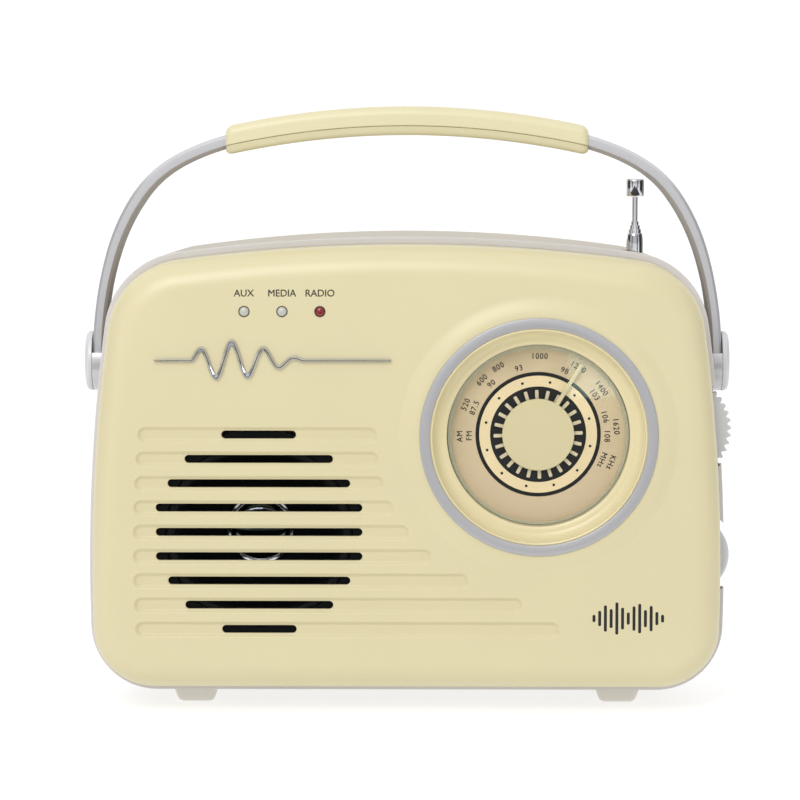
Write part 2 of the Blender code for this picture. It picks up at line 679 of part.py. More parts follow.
def make_rear_housing():
    seam = SEAM_Y + GAP
    housing = slab_object("rear_housing", [cabinet_outline(LIP)], seam, BACK_Y, GREY, round_back=BACK_ROUND)
    draw_in_sides(housing)
    hollow = slab_object(
        "housing_hollow",
        [cabinet_outline(LIP - WALL)],
        seam - 5,
        BACK_Y - WALL,
        None,
        CUTTERS,
        round_back=BACK_ROUND - WALL,
    )
    boolean(housing, draw_in_sides(hollow))

    door_width, door_height = 2 * (DOOR_HALF + DOOR_GAP), DOOR_TOP_Z - DOOR_BASE_Z + 2 * DOOR_GAP
    openings = [
        rectangle(0, (DOOR_BASE_Z + DOOR_TOP_Z) / 2, door_width, door_height),
        rectangle(INLET_X, INLET_Z, INLET_WIDTH + 2 * GAP, INLET_HEIGHT + 2 * GAP),
        rectangle(USB_X, USB_Z, USB_WIDTH + 2 * GAP, USB_HEIGHT + 2 * GAP),
        rectangle(CARD_X, CARD_Z, CARD_WIDTH + 2 * GAP, CARD_HEIGHT + 2 * GAP),
        arc(JACK_X, JACK_Z, JACK_RADIUS + GAP, 0, 337.5, 15),
        switch_slot(FUNCTION_Z, FUNCTION_TRAVEL, -1),
        switch_slot(BAND_Z, BAND_TRAVEL, 1),
    ]
    openings += [arc(x, BUTTON_Z, BUTTON_RADIUS + GAP, 0, 330, 11) for x in BUTTON_XS]
    openings += [arc(x, z, SCREW_SHANK + GAP, 0, 315, 7) for x, z in POSTS]
    for row in range(VENT_ROWS):
        z = VENT_Z + VENT_PITCH * (row - (VENT_ROWS - 1) / 2)
        openings.append(pill(VENT_X - VENT_HALF, VENT_X + VENT_HALF, z, 3.0, 4))
    boolean(housing, slab_object("back_openings", openings, BACK_Y - 8, BACK_Y + 5, None, CUTTERS))
    recesses = [arc(x, z, SCREW_HEAD + 0.4, 0, 330, 11) for x, z in POSTS]
    boolean(housing, slab_object("screw_recesses", recesses, BACK_Y - 1.3, BACK_Y + 5, None, CUTTERS))

    scoops = (
        ("tuning_scoop", TUNING_X, TUNING_Z, TUNING_RADIUS + 0.8),
        ("volume_scoop", VOLUME_X, VOLUME_Z, VOLUME_RADIUS + 3.3),
    )
    for name, x, z, radius in scoops:
        low, high = SEAM_Y - 2, WHEEL_BACK_Y + 0.6
        boolean(housing, cylinder(name, radius, low, high, "Y", (x, 0, z), None, CUTTERS, sides=28))

    place = (ANTENNA_X, ANTENNA_Y, 0)
    boolean(housing, cylinder("antenna_hole", 5.5, 180, 230, "Z", place, None, CUTTERS, sides=20))
    place = (0, PIVOT_Y, PIVOT_Z)
    for low, high in ((-150, -110), (110, 150)):
        boolean(housing, cylinder("pin_hole", PIN_RADIUS + GAP, low, high, "X", place, None, CUTTERS, 20))
    return housing


def switch_slot(z, travel, direction):
    """The slot for a slide switch's stem, which starts at one end of its travel."""
    middle = SWITCH_X + direction * travel / 2
    return rectangle(middle, z, STEM_WIDTH + travel + 2 * STEM_PLAY, STEM_HEIGHT + 2 * STEM_PLAY)


def make_battery_compartment():
    low_z, high_z = DOOR_BASE_Z - DOOR_GAP, DOOR_TOP_Z + DOOR_GAP
    half = DOOR_HALF + DOOR_GAP
    wall = 2.2
    inside = BACK_Y - WALL - GAP
    low, high = (-half - wall, TRAY_FRONT_Y, low_z - wall), (half + wall, inside, high_z + wall)
    tray = box_object("battery_tray", low, high, BLACK)
    low, high = (-half, TRAY_FRONT_Y + wall, low_z), (half, BACK_Y, high_z)
    boolean(tray, box_object("tray_hollow", low, high, None, CUTTERS))

    outline = rectangle(0, (DOOR_BASE_Z + DOOR_TOP_Z) / 2, 2 * DOOR_HALF, DOOR_TOP_Z - DOOR_BASE_Z)
    door = slab_object("battery_door", [outline], BACK_Y - DOOR_THICKNESS, BACK_Y, GREY)
    low, high = (-9, BACK_Y - 1, DOOR_TOP_Z - 7), (9, BACK_Y + 0.9, DOOR_TOP_Z - 5)
    boolean(door, box_object("ridge", low, high, None, CUTTERS), "UNION")
    hang_from("door_axis", (0, BACK_Y - DOOR_THICKNESS / 2, DOOR_BASE_Z + DOOR_THICKNESS / 2), [door])


def make_sockets():
    low, high = SOCKET_FRONT_Y, SOCKET_BACK_Y
    outline = rectangle(INLET_X, INLET_Z, INLET_WIDTH, INLET_HEIGHT)
    inlet = slab_object("mains_inlet", [outline], low - 5, high, BLACK)
    outline = pill(INLET_X - 9.8, INLET_X + 9.8, INLET_Z, 8.4)
    boolean(inlet, slab_object("inlet_mouth", [outline], high - 12, high + 5, None, CUTTERS))
    for side in (-1, 1):
        place = (INLET_X + side * 4.3, 0, INLET_Z)
        pin = cylinder("inlet_pin", 1.2, high - 14, high - 1.5, "Y", place, None, CUTTERS, 12)
        boolean(inlet, pin, "UNION")

    usb = slab_object("usb_socket", [rectangle(USB_X, USB_Z, USB_WIDTH, USB_HEIGHT)], low, high, STEEL)
    outline = rectangle(USB_X, USB_Z, 12.5, 5.1)
    boolean(usb, slab_object("usb_mouth", [outline], high - 10, high + 5, None, CUTTERS))
    outline = rectangle(USB_X, USB_Z + 1.0, 11.2, 1.8)
    boolean(usb, slab_object("usb_tongue", [outline], high - 11, high - 1.2, None, CUTTERS), "UNION")

    card = slab_object("card_socket", [rectangle(CARD_X, CARD_Z, CARD_WIDTH, CARD_HEIGHT)], low, high, BLACK)
    outline = rectangle(CARD_X, CARD_Z, 24.4, 2.2)
    boolean(card, slab_object("card_slot", [outline], high - 12, high + 5, None, CUTTERS))

    bore = [(0, high - 11), (JACK_BORE, high - 11), (JACK_BORE, high)]
    profile = [*bore, (JACK_RADIUS, high), (JACK_RADIUS, low), (0, low)]
    turned("aux_jack", profile, "Y", (JACK_X, 0, JACK_Z), BLACK, sides=20)
    box_object("socket_board", (58, low - 2.0, 102), (121, low - 0.4, 158), BOARD)


def switch_block(name, z, width, height, front, back, material=None, collection=None):
    low = (SWITCH_X - width / 2, front, z - height / 2)
    high = (SWITCH_X + width / 2, back, z + height / 2)
    return box_object(name, low, high, material, collection)


def make_switch(name, z):
    """A slide switch's cap outside the wall, its stem, and the plate behind the wall."""
    inside = BACK_Y - WALL
    cap = switch_block(name, z, 9.0, 5.2, BACK_Y + GAP, BACK_Y + 2.0, BLACK)
    stem = switch_block("stem", z, STEM_WIDTH, STEM_HEIGHT, inside - 1.5, BACK_Y + 1.0, None, CUTTERS)
    plate = switch_block("plate", z, 10.0, 6.4, inside - 3.0, inside - GAP, None, CUTTERS)
    boolean(cap, stem, "UNION")
    boolean(cap, plate, "UNION")
    hang_from(f"{name}_axis", (SWITCH_X, BACK_Y, z), [cap])


def make_buttons():
    inside = BACK_Y - WALL
    profile = [
        (0, BACK_Y + 1.7),
        (BUTTON_RADIUS - 0.5, BACK_Y + 1.7),
        (BUTTON_RADIUS, BACK_Y + 1.2),
        (BUTTON_RADIUS, inside - GAP),
        (BUTTON_RADIUS + 1.0, inside - GAP),
        (BUTTON_RADIUS + 1.0, inside - 2.5),
        (0, inside - 2.5),
    ]
    for name, x in zip(("previous", "play", "next"), BUTTON_XS):
        button = turned(f"button_{name}", profile, "Y", (x, 0, BUTTON_Z), BLACK, sides=12)
        hang_from(f"button_{name}_axis", (x, BACK_Y, BUTTON_Z), [button])


def make_screws_and_feet():
    for number, (x, z) in enumerate(POSTS, 1):
        profile = [
            (0, BACK_Y + 0.1),
            (SCREW_HEAD - 0.8, BACK_Y + 0.1),
            (SCREW_HEAD, BACK_Y - 0.5),
            (SCREW_HEAD, BACK_Y - 1.0),
            (SCREW_SHANK, BACK_Y - 1.0),
            (SCREW_SHANK, BACK_Y - 15.0),
            (0, BACK_Y - 16.0),
        ]
        turned(f"case_screw_{number}", profile, "Y", (x, 0, z), STEEL, sides=12)
    top = SHELL_BASE_Z - LIP - GAP
    for row, y in zip(("front", "rear"), FOOT_YS):
        for side, x in (("left", -FOOT_X), ("right", FOOT_X)):
            sole = [(x - FOOT_SOLE / 2, 0), (x + FOOT_SOLE / 2, 0)]
            outline = [*sole, (x + FOOT_TOP / 2, top), (x - FOOT_TOP / 2, top)]
            slab_object(f"foot_{row}_{side}", [outline], y - FOOT_LENGTH / 2, y + FOOT_LENGTH / 2, GREY)


# ---------------------------------------------------------------- handle


def strap_outline(grow):
    """The arch of the strap from the front, thickened by `grow` on both edges."""
    right = smooth_path(STRAP_EDGE, 2)
    left = [Vector((-p.x, p.y)) for p in reversed(right[:-1])]
    edge = right + left
    outer = offset_path(edge, -grow)
    inner = offset_path(edge, STRAP_THICKNESS + grow)
    return [(p.x, p.y) for p in outer] + [(p.x, p.y) for p in reversed(inner)]


def arched_band(top_z, top_end_z, base_z, base_end_z, half):
    """A shallow arched band: parabolas above and below, with upright ends."""
    steps = 8
    xs = [half - 2 * half * i / steps for i in range(steps + 1)]
    upper = [(x, top_z - (top_z - top_end_z) * (x / half) ** 2) for x in xs]
    lower = [(x, base_z - (base_z - base_end_z) * (x / half) ** 2) for x in xs]
    return upper + lower[::-1]


def make_handle():
    low_y, high_y = PIVOT_Y - STRAP_DEPTH / 2, PIVOT_Y + STRAP_DEPTH / 2
    chamfer = {"round_front": 1.4, "round_back": 1.4, "segments": 1}
    strap = slab_object("handle_strap", [strap_outline(0)], low_y, high_y, SILVER, **chamfer)
    moving = [strap]
    centre = (0, PIVOT_Y, PIVOT_Z)
    for name, side in (("left", -1), ("right", 1)):
        inner, split, outer = side * HUB_INNER_X, side * HUB_SPLIT_X, side * HUB_OUTER_X
        cap = [
            (0, split + side * GAP),
            (HUB_RADIUS, split + side * GAP),
            (HUB_RADIUS, outer - side * 1.6),
            (HUB_RADIUS - 0.6, outer - side * 0.7),
            (HUB_RADIUS - 2.4, outer - side * 0.2),
            (0, outer),
        ]
        pin = [
            (0, inner - side * 10.5),
            (6.5, inner - side * 10.5),
            (6.5, inner - side * 8.5),
            (PIN_RADIUS, inner - side * 8.5),
            (PIN_RADIUS, split - side * GAP),
            (0, split - side * GAP),
        ]
        low, high = sorted((inner, split))
        barrel_tool = cylinder("barrel", HUB_RADIUS - 0.4, low, high, "X", centre, None, CUTTERS, sides=32)
        low, high, bore = low - 5, high + 5, PIN_RADIUS + GAP
        bore_tool = cylinder("barrel_bore", bore, low, high, "X", centre, None, CUTTERS, 20)
        hub_cap = turned(f"hub_cap_{name}", cap, "X", centre, SILVER, sides=32)
        pivot_pin = turned(f"pivot_pin_{name}", pin, "X", centre, STEEL, sides=20)
        boolean(strap, barrel_tool, "UNION")
        boolean(strap, bore_tool)
        moving += [hub_cap, pivot_pin]

    front, back = PIVOT_Y - GRIP_DEPTH / 2, PIVOT_Y + GRIP_DEPTH / 2
    split, split_end = GRIP_BASE_Z + GRIP_SPLIT, GRIP_BASE_END_Z + GRIP_SPLIT
    upper = arched_band(GRIP_TOP_Z, GRIP_END_Z, split + GAP, split_end + GAP, GRIP_HALF)
    lower = arched_band(split, split_end, GRIP_BASE_Z, GRIP_BASE_END_Z, GRIP_HALF)
    rounding = {"round_front": 3.2, "round_back": 3.2, "segments": 3}
    grip = slab_object("handle_grip", [upper], front, back, CREAM, **rounding)
    rounding = {"round_front": 1.6, "round_back": 1.6, "segments": 2}
    liner = slab_object("grip_liner", [lower], front + 0.8, back - 0.8, CREAM, **rounding)
    channel = slab_object("strap_channel", [strap_outline(GAP)], low_y - GAP, high_y + GAP, None, CUTTERS)
    boolean(grip, channel)
    boolean(liner, channel)
    hang_from("handle_axis", (0, PIVOT_Y, PIVOT_Z), moving + [grip, liner])


# ---------------------------------------------------------------- thumbwheels, antenna, electrics


def toothed_outline():
    outline = []
    tooth_corners = ((0.0, TUNING_RADIUS), (0.3, TUNING_RADIUS), (0.65, TUNING_RADIUS - TOOTH_DEPTH))
    for tooth in range(TUNING_TEETH):
        for share, radius in tooth_corners:
            turn = 2 * math.pi * (tooth + share) / TUNING_TEETH
            outline.append((TUNING_X + radius * math.cos(turn), TUNING_Z + radius * math.sin(turn)))
    return outline


def make_thumbwheels():
    tuning = slab_object("tuning_wheel", [toothed_outline()], WHEEL_FRONT_Y, WHEEL_BACK_Y, GREY)
    place = (TUNING_X, 0, TUNING_Z)
    low, high = WHEEL_FRONT_Y - 5, WHEEL_BACK_Y + 5
    boolean(tuning, cylinder("tuning_bore", SHAFT_HOLE, low, high, "Y", place, None, CUTTERS, 20))
    drum = groove_profile(DRUM_GROOVE, SHAFT_RADIUS, SHAFT_RADIUS)
    shaft_profile = [(0, -7.0), (SHAFT_RADIUS, -7.0), *drum, (SHAFT_RADIUS, CORD_Y - 3), (0, CORD_Y - 3)]
    shaft = turned("tuning_shaft", shaft_profile, "Y", place, STEEL, sides=20)
    hang_from("tuning_axis", (TUNING_X, WHEEL_FRONT_Y, TUNING_Z), [tuning, shaft])

    rim = 1.5
    volume_profile = [
        (0, -6.5),
        (SHAFT_RADIUS, -6.5),
        (SHAFT_RADIUS, WHEEL_BACK_Y),
        (VOLUME_RADIUS - rim, WHEEL_BACK_Y),
        (VOLUME_RADIUS, WHEEL_BACK_Y - rim),
        (VOLUME_RADIUS, WHEEL_FRONT_Y + rim),
        (VOLUME_RADIUS - rim, WHEEL_FRONT_Y),
        (0, WHEEL_FRONT_Y),
    ]
    volume = turned("volume_wheel", volume_profile, "Y", (VOLUME_X, 0, VOLUME_Z), GREY, sides=32)
    hang_from("volume_axis", (VOLUME_X, WHEEL_FRONT_Y, VOLUME_Z), [volume])


def make_antenna():
    place = (ANTENNA_X, ANTENNA_Y, 0)
    tube("antenna_guide", 5.2, 3.9, 186, 202.6, "Z", place, BLACK, sides=16)
    for number, (outer, bore, low, high) in enumerate(ANTENNA_TUBES, 1):
        shoulder = min(0.9, (outer - bore) * 0.8)
        outside = [(outer - shoulder * 0.7, high), (outer, high - shoulder), (outer, low)]
        profile = [*outside, (bore, low), (bore, high)]
        section = turned(f"antenna_tube_{number}", profile, "Z", place, CHROME, sides=16, closed=True)
        hang_from(f"antenna_axis_{number}", place, [section])
    rod = cylinder("antenna_rod", ROD_RADIUS, ROD_BASE_Z, TIP_BASE_Z - GAP, "Z", place, CHROME, sides=16)
    tip_profile = [
        (0, TIP_TOP_Z),
        (TIP_RADIUS - 0.7, TIP_TOP_Z),
        (TIP_RADIUS, TIP_TOP_Z - 0.7),
        (TIP_RADIUS, TIP_BASE_Z + 0.5),
        (TIP_RADIUS - 0.5, TIP_BASE_Z),
        (0, TIP_BASE_Z),
    ]
    tip = turned("antenna_tip", tip_profile, "Z", place, CHROME, sides=24)
    hang_from("antenna_axis_5", place, [rod, tip])


def make_electrics():
    box_object("main_board", (60, 7.6, 40), (128, 9.2, 140), BOARD)
    low, high = (TUNING_X - 10, -11, TUNING_Z - 10), (TUNING_X + 7.5, 7.2, TUNING_Z + 10)
    capacitor = box_object("tuning_capacitor", low, high, STEEL)
    place = (TUNING_X, 0, TUNING_Z)
    boolean(capacitor, cylinder("capacitor_bore", SHAFT_HOLE, -15, -6, "Y", place, None, CUTTERS, 20))
    low, high = (VOLUME_X - 7, -11, VOLUME_Z - 7), (VOLUME_X + 3.5, 7.2, VOLUME_Z + 7)
    pot = box_object("volume_potentiometer", low, high, STEEL)
    place = (VOLUME_X, 0, VOLUME_Z)
    boolean(pot, cylinder("pot_bore", SHAFT_HOLE, -15, -6, "Y", place, None, CUTTERS, 20))
    cylinder("ferrite_rod", 5.0, -58, 42, "X", (0, 18, 172), FERRITE, sides=16)
    tube("ferrite_coil", 7.0, 5.3, -30, 4, "X", (0, 18, 172), COPPER, sides=20)
    box_object("power_transformer", (-106, -4, 12), (-70, 40, 50), STEEL)


make_front_shell()
make_dial()
make_pointer()
make_dial_cord()
make_lamps()
make_emblem()
make_speaker()
make_rear_housing()
make_battery_compartment()
make_sockets()
make_switch("function_switch", FUNCTION_Z)
make_switch("band_switch", BAND_Z)
make_buttons()
make_screws_and_feet()
make_handle()
make_thumbwheels()
make_antenna()
make_electrics()
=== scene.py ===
"""Tabletop radio: the looks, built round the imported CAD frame.

Frame: X to the right seen from the front, the front faces -Y, Z up, feet on z = 0. Shapes below are in
millimetres, and piece() turns them into metres. The outlines repeat the formulas of the CAD model, and
stay inside its box.
"""

import math

import bmesh
import bpy
from mathutils import Matrix, Vector


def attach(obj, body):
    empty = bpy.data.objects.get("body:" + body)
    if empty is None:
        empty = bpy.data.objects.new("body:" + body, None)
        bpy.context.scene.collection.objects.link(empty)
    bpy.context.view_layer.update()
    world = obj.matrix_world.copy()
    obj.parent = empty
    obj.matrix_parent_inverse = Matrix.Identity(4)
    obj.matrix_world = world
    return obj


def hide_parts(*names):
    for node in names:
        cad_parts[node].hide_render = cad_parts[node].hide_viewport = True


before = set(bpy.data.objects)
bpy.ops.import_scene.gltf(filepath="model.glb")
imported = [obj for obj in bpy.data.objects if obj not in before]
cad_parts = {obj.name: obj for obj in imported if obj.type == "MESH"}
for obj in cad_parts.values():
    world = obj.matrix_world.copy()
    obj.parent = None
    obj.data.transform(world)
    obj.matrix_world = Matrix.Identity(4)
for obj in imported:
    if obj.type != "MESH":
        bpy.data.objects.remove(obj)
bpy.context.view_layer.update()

MM = 0.001

# ---------------------------------------------------------------- sizes, in millimetres

HALF_WIDTH, WIDEST_Z, SIDE_RADIUS, TOP_RADIUS = 140.0, 60.0, 800.0, 755.0
SHELL_TOP_Z, SHELL_BASE_Z, TOP_FILLET, BASE_FILLET = 207.5, 7.8, 36.0, 28.0
FACE_Y, SEAM_Y, BACK_Y, WALL, LIP = -50.0, -22.0, 50.5, 3.0, 1.4
FACE_ROUND, BACK_ROUND, SIDE_DRAFT = 12.5, 10.0, 7.5
# how far the shell is drawn inside its CAD outline, and higher at its foot
SHELL_INSET, BASE_RISE = 1.6, 2.0
GAP = 0.3  # clearance between pieces that fit into each other
COAT_ROUGHNESS = 0.1

DIAL_X, DIAL_Z = 57.9, 123.0
RING_OUTER, RING_INNER, DIAL_HOLE = 52.05, 47.5, 49.3
FUNNEL_FLAT, FUNNEL_INNER, LENS_RADIUS = 42.0, 40.1, 39.8
BOSS_FOOT, BOSS_TOP, BOSS_HEIGHT = 62.0, 53.4, 1.8
RING_FRONT_Y, LENS_Y, PLATE_Y, CORD_Y = -52.5, -44.7, -38.2, -32.0
POINTER_HUB, POINTER_TIP, POINTER_ANGLE = 15.8, 36.4, 31.5

SPEAKER_X, SPEAKER_Z = -64.5, 80.0
GRILLE_X, GRILLE_Z, GRILLE_ROWS, GRILLE_PITCH = -64.3, 80.9, 9, 10.72
GROOVE_HEIGHT, GROOVE_DEPTH, GROOVE_LEFT, GROOVE_DIAL_CLEARANCE = 6.4, 1.5, -119.4, 70.6
LONG_GROOVE_ENDS = (51.0, 67.0)
SLOT_HEIGHT = 3.5
SLOT_HALF_LENGTHS = (16.3, 32.4, 39.9, 45.2, 45.2)

LAMP_XS, LAMP_Z, LAMP_RADIUS, LABEL_Z = (-70.4, -53.9, -37.4), 177.7, 2.15, 185.8
EMBLEM_Z, EMBLEM_ENDS, EMBLEM_WAVE = 156.4, (-109.7, -6.5), (-93.2, -44.3)
WAVE_HEIGHT, WAVE_COUNT = 11.0, 3.5

PIVOT_Y, PIVOT_Z, STRAP_THICKNESS, STRAP_DEPTH = 4.9, 151.9, 6.2, 20.0
STRAP_THIN, STRAP_THIN_Z, STRAP_FULL_Z = 5.2, 188.0, 226.0  # it is thinner where it passes the cabinet
HUB_RADIUS, HUB_INNER_X, HUB_SPLIT_X, HUB_OUTER_X, PIN_RADIUS = 13.4, 136.3, 141.2, 144.4, 4.0
HUB_SHELF_Z = 156.2
GRIP_HALF, GRIP_DEPTH = 81.0, 25.0
GRIP_TOP_Z, GRIP_END_Z, GRIP_BASE_Z, GRIP_BASE_END_Z = 266.1, 257.2, 253.4, 244.4
GRIP_SPLIT, END_ROUND = 4.2, 3.5
STRAP_EDGE = (
    (141.1, 152.0), (140.6, 166.0), (138.6, 183.0), (134.4, 201.6), (128.8, 215.9),
    (120.5, 229.5), (107.2, 242.6), (80.5, 253.7), (45.0, 259.8), (0.0, 261.6),
)

WHEEL_FRONT_Y, WHEEL_BACK_Y = -20.2, -13.4
TUNING_X, TUNING_Z, TUNING_RADIUS, TUNING_TEETH = 120.45, 123.5, 23.75, 43
VOLUME_X, VOLUME_Z, VOLUME_RADIUS = 126.7, 67.2, 17.0
SHAFT_RADIUS, SHAFT_HOLE = 2.5, 2.8

ANTENNA_X, ANTENNA_Y = 101.4, -9.3
ANTENNA_TUBES = (
    (3.75, 3.0, 62.0, 210.0), (2.85, 2.45, 64.0, 211.8), (2.3, 1.85, 66.0, 213.5), (1.7, 1.35, 68.0, 215.3)
)
ROD_RADIUS, ROD_BASE_Z, TIP_RADIUS, TIP_BASE_Z, TIP_TOP_Z = 1.2, 72.0, 3.95, 226.4, 234.1

DOOR_HALF, DOOR_BASE_Z, DOOR_TOP_Z, DOOR_THICKNESS, DOOR_GAP = 53.0, 22.0, 84.0, 2.2, 0.7
INLET_X, INLET_Z, INLET_WIDTH, INLET_HEIGHT = -92.0, 66.0, 24.0, 16.0
USB_X, USB_Z, USB_WIDTH, USB_HEIGHT = 102.0, 112.0, 14.5, 7.2
CARD_X, CARD_Z, CARD_WIDTH, CARD_HEIGHT = 75.0, 112.0, 27.0, 4.6
JACK_X, JACK_Z, JACK_RADIUS = 104.0, 129.0, 4.0
SOCKET_FRONT_Y, SOCKET_BACK_Y = 35.0, 50.3
SWITCH_X, FUNCTION_Z, BAND_Z, FUNCTION_TRAVEL, BAND_TRAVEL = 74.0, 147.0, 129.0, 8.0, 6.0
BUTTON_XS, BUTTON_Z, BUTTON_RADIUS = (114.0, 103.0, 92.0), 147.0, 3.6
VENT_X, VENT_Z, VENT_HALF, VENT_ROWS, VENT_PITCH = -66.0, 150.0, 34.0, 6, 7.5
POSTS = ((-112.0, 30.0), (112.0, 30.0), (-75.0, 188.0), (75.0, 188.0))
POST_RADIUS, SCREW_HEAD, SCREW_SHANK = 4.0, 3.2, 1.5
PANEL_DEPTH = 0.5  # the socket panel lies this far under the back
CAP_SHARE = 0.70  # height of the built-in font's capitals, as a share of its size
BOLD = 0.016  # the thin font is drawn twice, each copy moved by this share of its size
FOOT_X, FOOT_YS, FOOT_TOP, FOOT_SOLE, FOOT_LENGTH = 94.5, (-10.0, 36.0), 19.9, 15.4, 14.0

# ---------------------------------------------------------------- materials


def linear(red, green, blue):
    """A colour of 0 to 255 as screens show it, in linear values."""
    return tuple(((c / 255 + 0.055) / 1.055) ** 2.4 if c > 10 else c / 3294.6 for c in (red, green, blue))


def add(tree, kind, inputs, **settings):
    """A shader node. inputs maps its sockets to plain values, or to the outputs that feed them."""
    node = tree.nodes.new("ShaderNode" + kind)
    for name, value in settings.items():
        setattr(node, name, value)
    feed(tree, node, inputs)
    return node


def feed(tree, node, inputs):
    for socket, value in inputs.items():
        if isinstance(value, bpy.types.NodeSocket):
            tree.links.new(value, node.inputs[socket])
        else:
            node.inputs[socket].default_value = value


def noise(tree, coordinates, per_metre, detail):
    inputs = {"Scale": per_metre, "Detail": detail, "Roughness": 0.5, "Vector": coordinates}
    return add(tree, "TexNoise", inputs).outputs["Fac"]


def remap(tree, value, low, high):
    inputs = {"From Min": 0.3, "From Max": 0.7, "To Min": low, "To Max": high, "Value": value}
    return add(tree, "MapRange", inputs).outputs["Result"]


def finish(
    name, colour, roughness, metallic=0.0, mottle=0.03, mottle_per_metre=25.0, grain=0.02,
    grain_per_metre=1800.0, spread=0.06, stretch=(1, 1, 1), coat=0.0, specular=0.5,
):
    """A moulded, painted, plated or brushed surface: slow colour variation, uneven gloss and a fine bump.

    mottle is the colour's variation and spread is the roughness's. grain is the bump's height in millimetres.
    A stretch over 1 squeezes the grain along that axis, and under 1 draws it out, as brushing does.
    """
    material = bpy.data.materials.new(name)
    material.use_nodes = True
    tree = material.node_tree
    shader = tree.nodes["Principled BSDF"]
    place = add(tree, "TexCoord", {}).outputs["Object"]
    scaled = add(tree, "Mapping", {"Scale": stretch, "Vector": place}).outputs["Vector"]
    slow = noise(tree, place, mottle_per_metre, 4.0)
    fine = noise(tree, scaled, grain_per_metre, 2.0)
    dark, pale = [(*[min(1, c * share) for c in linear(*colour)], 1) for share in (1 - mottle, 1 + mottle)]
    mix = {"A": dark, "B": pale, "Factor": remap(tree, slow, 0, 1)}
    feed(tree, shader, {
        "Base Color": add(tree, "Mix", mix, data_type="RGBA").outputs["Result"],
        "Roughness": remap(tree, fine, roughness - spread / 2, roughness + spread / 2),
        "Metallic": metallic, "Coat Weight": coat, "Coat Roughness": COAT_ROUGHNESS,
        "Specular IOR Level": specular,
    })
    if grain:
        bump = {"Strength": 1.0, "Distance": grain * MM, "Height": fine}
        feed(tree, shader, {"Normal": add(tree, "Bump", bump).outputs["Normal"]})
    return material


def lens_finish():
    """Clear moulded plastic: a faint reflection over its face, and a dark green rim where it is bevelled, the
    plastic's own green edge with painted shadow of the bezel in it.
    """
    material = bpy.data.materials.new("clear_lens_plastic")
    material.use_nodes = True
    tree = material.node_tree
    place = add(tree, "TexCoord", {}).outputs["Object"]
    centre = (DIAL_X * MM, 0, DIAL_Z * MM)
    from_axis = add(tree, "VectorMath", {0: place, 1: centre}, operation="SUBTRACT").outputs["Vector"]
    flat = add(tree, "VectorMath", {0: from_axis, 1: (1, 0, 1)}, operation="MULTIPLY").outputs["Vector"]
    radius = add(tree, "VectorMath", {0: flat}, operation="LENGTH").outputs["Value"]

    def towards_rim(low, high):
        reach = {
            "From Min": (LENS_RADIUS - 2.4) * MM, "From Max": (LENS_RADIUS - 1.0) * MM, "Value": radius
        }
        inputs = {**reach, "To Min": low, "To Max": high}
        return add(tree, "MapRange", inputs, interpolation_type="SMOOTHSTEP").outputs["Result"]

    feed(tree, tree.nodes["Principled BSDF"], {
        "Roughness": 0.03, "IOR": 1.49, "Base Color": (*LENS_TINT_AND_RIM_SHADE, 1),
        "Metallic": towards_rim(1.0, 0.0), "Alpha": towards_rim(0.055, 0.30),
    })
    return material


def plate_finish():
    """The scale plate: tan and a little darker at the top, painted shade under the bezel, a little pinker and
    lighter towards the bottom, with a slight mottle.
    """
    material = finish(
        "scale_plate_print", (220, 200, 162), 0.42, mottle=0.05, mottle_per_metre=60, grain=0.004
    )
    tree = material.node_tree
    shader = tree.nodes["Principled BSDF"]
    place = tree.nodes["Texture Coordinate"].outputs["Object"]
    height = add(tree, "SeparateXYZ", {"Vector": place}).outputs["Z"]
    # rise grows from the bottom to the top, where the plate is painted a little darker as shade under the
    # bezel
    reach = {"From Min": (DIAL_Z - 34) * MM, "From Max": (DIAL_Z + 8) * MM, "Value": height}
    rise = add(tree, "MapRange", reach, interpolation_type="SMOOTHSTEP").outputs["Result"]
    mottled = shader.inputs["Base Color"].links[0].from_socket
    mix = {"A": (*linear(222, 201, 166), 1), "B": mottled, "Factor": rise}
    feed(tree, shader, {"Base Color": add(tree, "Mix", mix, data_type="RGBA").outputs["Result"]})
    return material


# the lens's tint, and the dark colour of its rim: the plastic's green edge together with painted shadow of
# the bezel
LENS_TINT_AND_RIM_SHADE = linear(150, 170, 160)
CREAM = finish("cream_plastic_satin", (211, 201, 162), 0.36, mottle=0.012, grain=0.010, grain_per_metre=900)
CREAM_GRIP = finish(
    "cream_grip_plastic", (215, 207, 169), 0.40, mottle=0.015, grain=0.012, grain_per_metre=1100
)
# the grip's cream made darker: painted shade on the grip's lower part
CREAM_LINER_SHADED = finish(
    "cream_liner_painted_shade", (206, 197, 158), 0.42, mottle=0.015, grain=0.012, grain_per_metre=1100
)
CREAM_POINTER = finish("cream_pointer_plastic", (224, 212, 168), 0.35, mottle=0.012, grain=0.004)
CREAM_DIAL = finish("cream_dial_plastic", (220, 208, 166), 0.30, mottle=0.010, grain=0.004)
HOUSING = finish(
    "housing_plastic_textured", (192, 184, 171), 0.50, mottle=0.015, grain=0.03, grain_per_metre=1500
)
# a paler copy of the housing plastic for the lip by the seam: painted light that makes up for the shade the
# shell casts there
HOUSING_LIP_LIT = finish(
    "housing_lip_painted_light", (207, 204, 203), 0.50, mottle=0.015, grain=0.02, grain_per_metre=1500
)
FOOT = finish("foot_rubber", (224, 221, 214), 0.62, mottle=0.02, grain=0.03, grain_per_metre=1200)
WHEEL = finish("thumbwheel_plastic", (205, 206, 210), 0.42, mottle=0.015, grain=0.02, grain_per_metre=1500)
SILVER = finish(
    "silver_paint", (208, 208, 212), 0.36, 0.50, mottle=0.02, grain=0.006, grain_per_metre=4000, coat=0.2
)
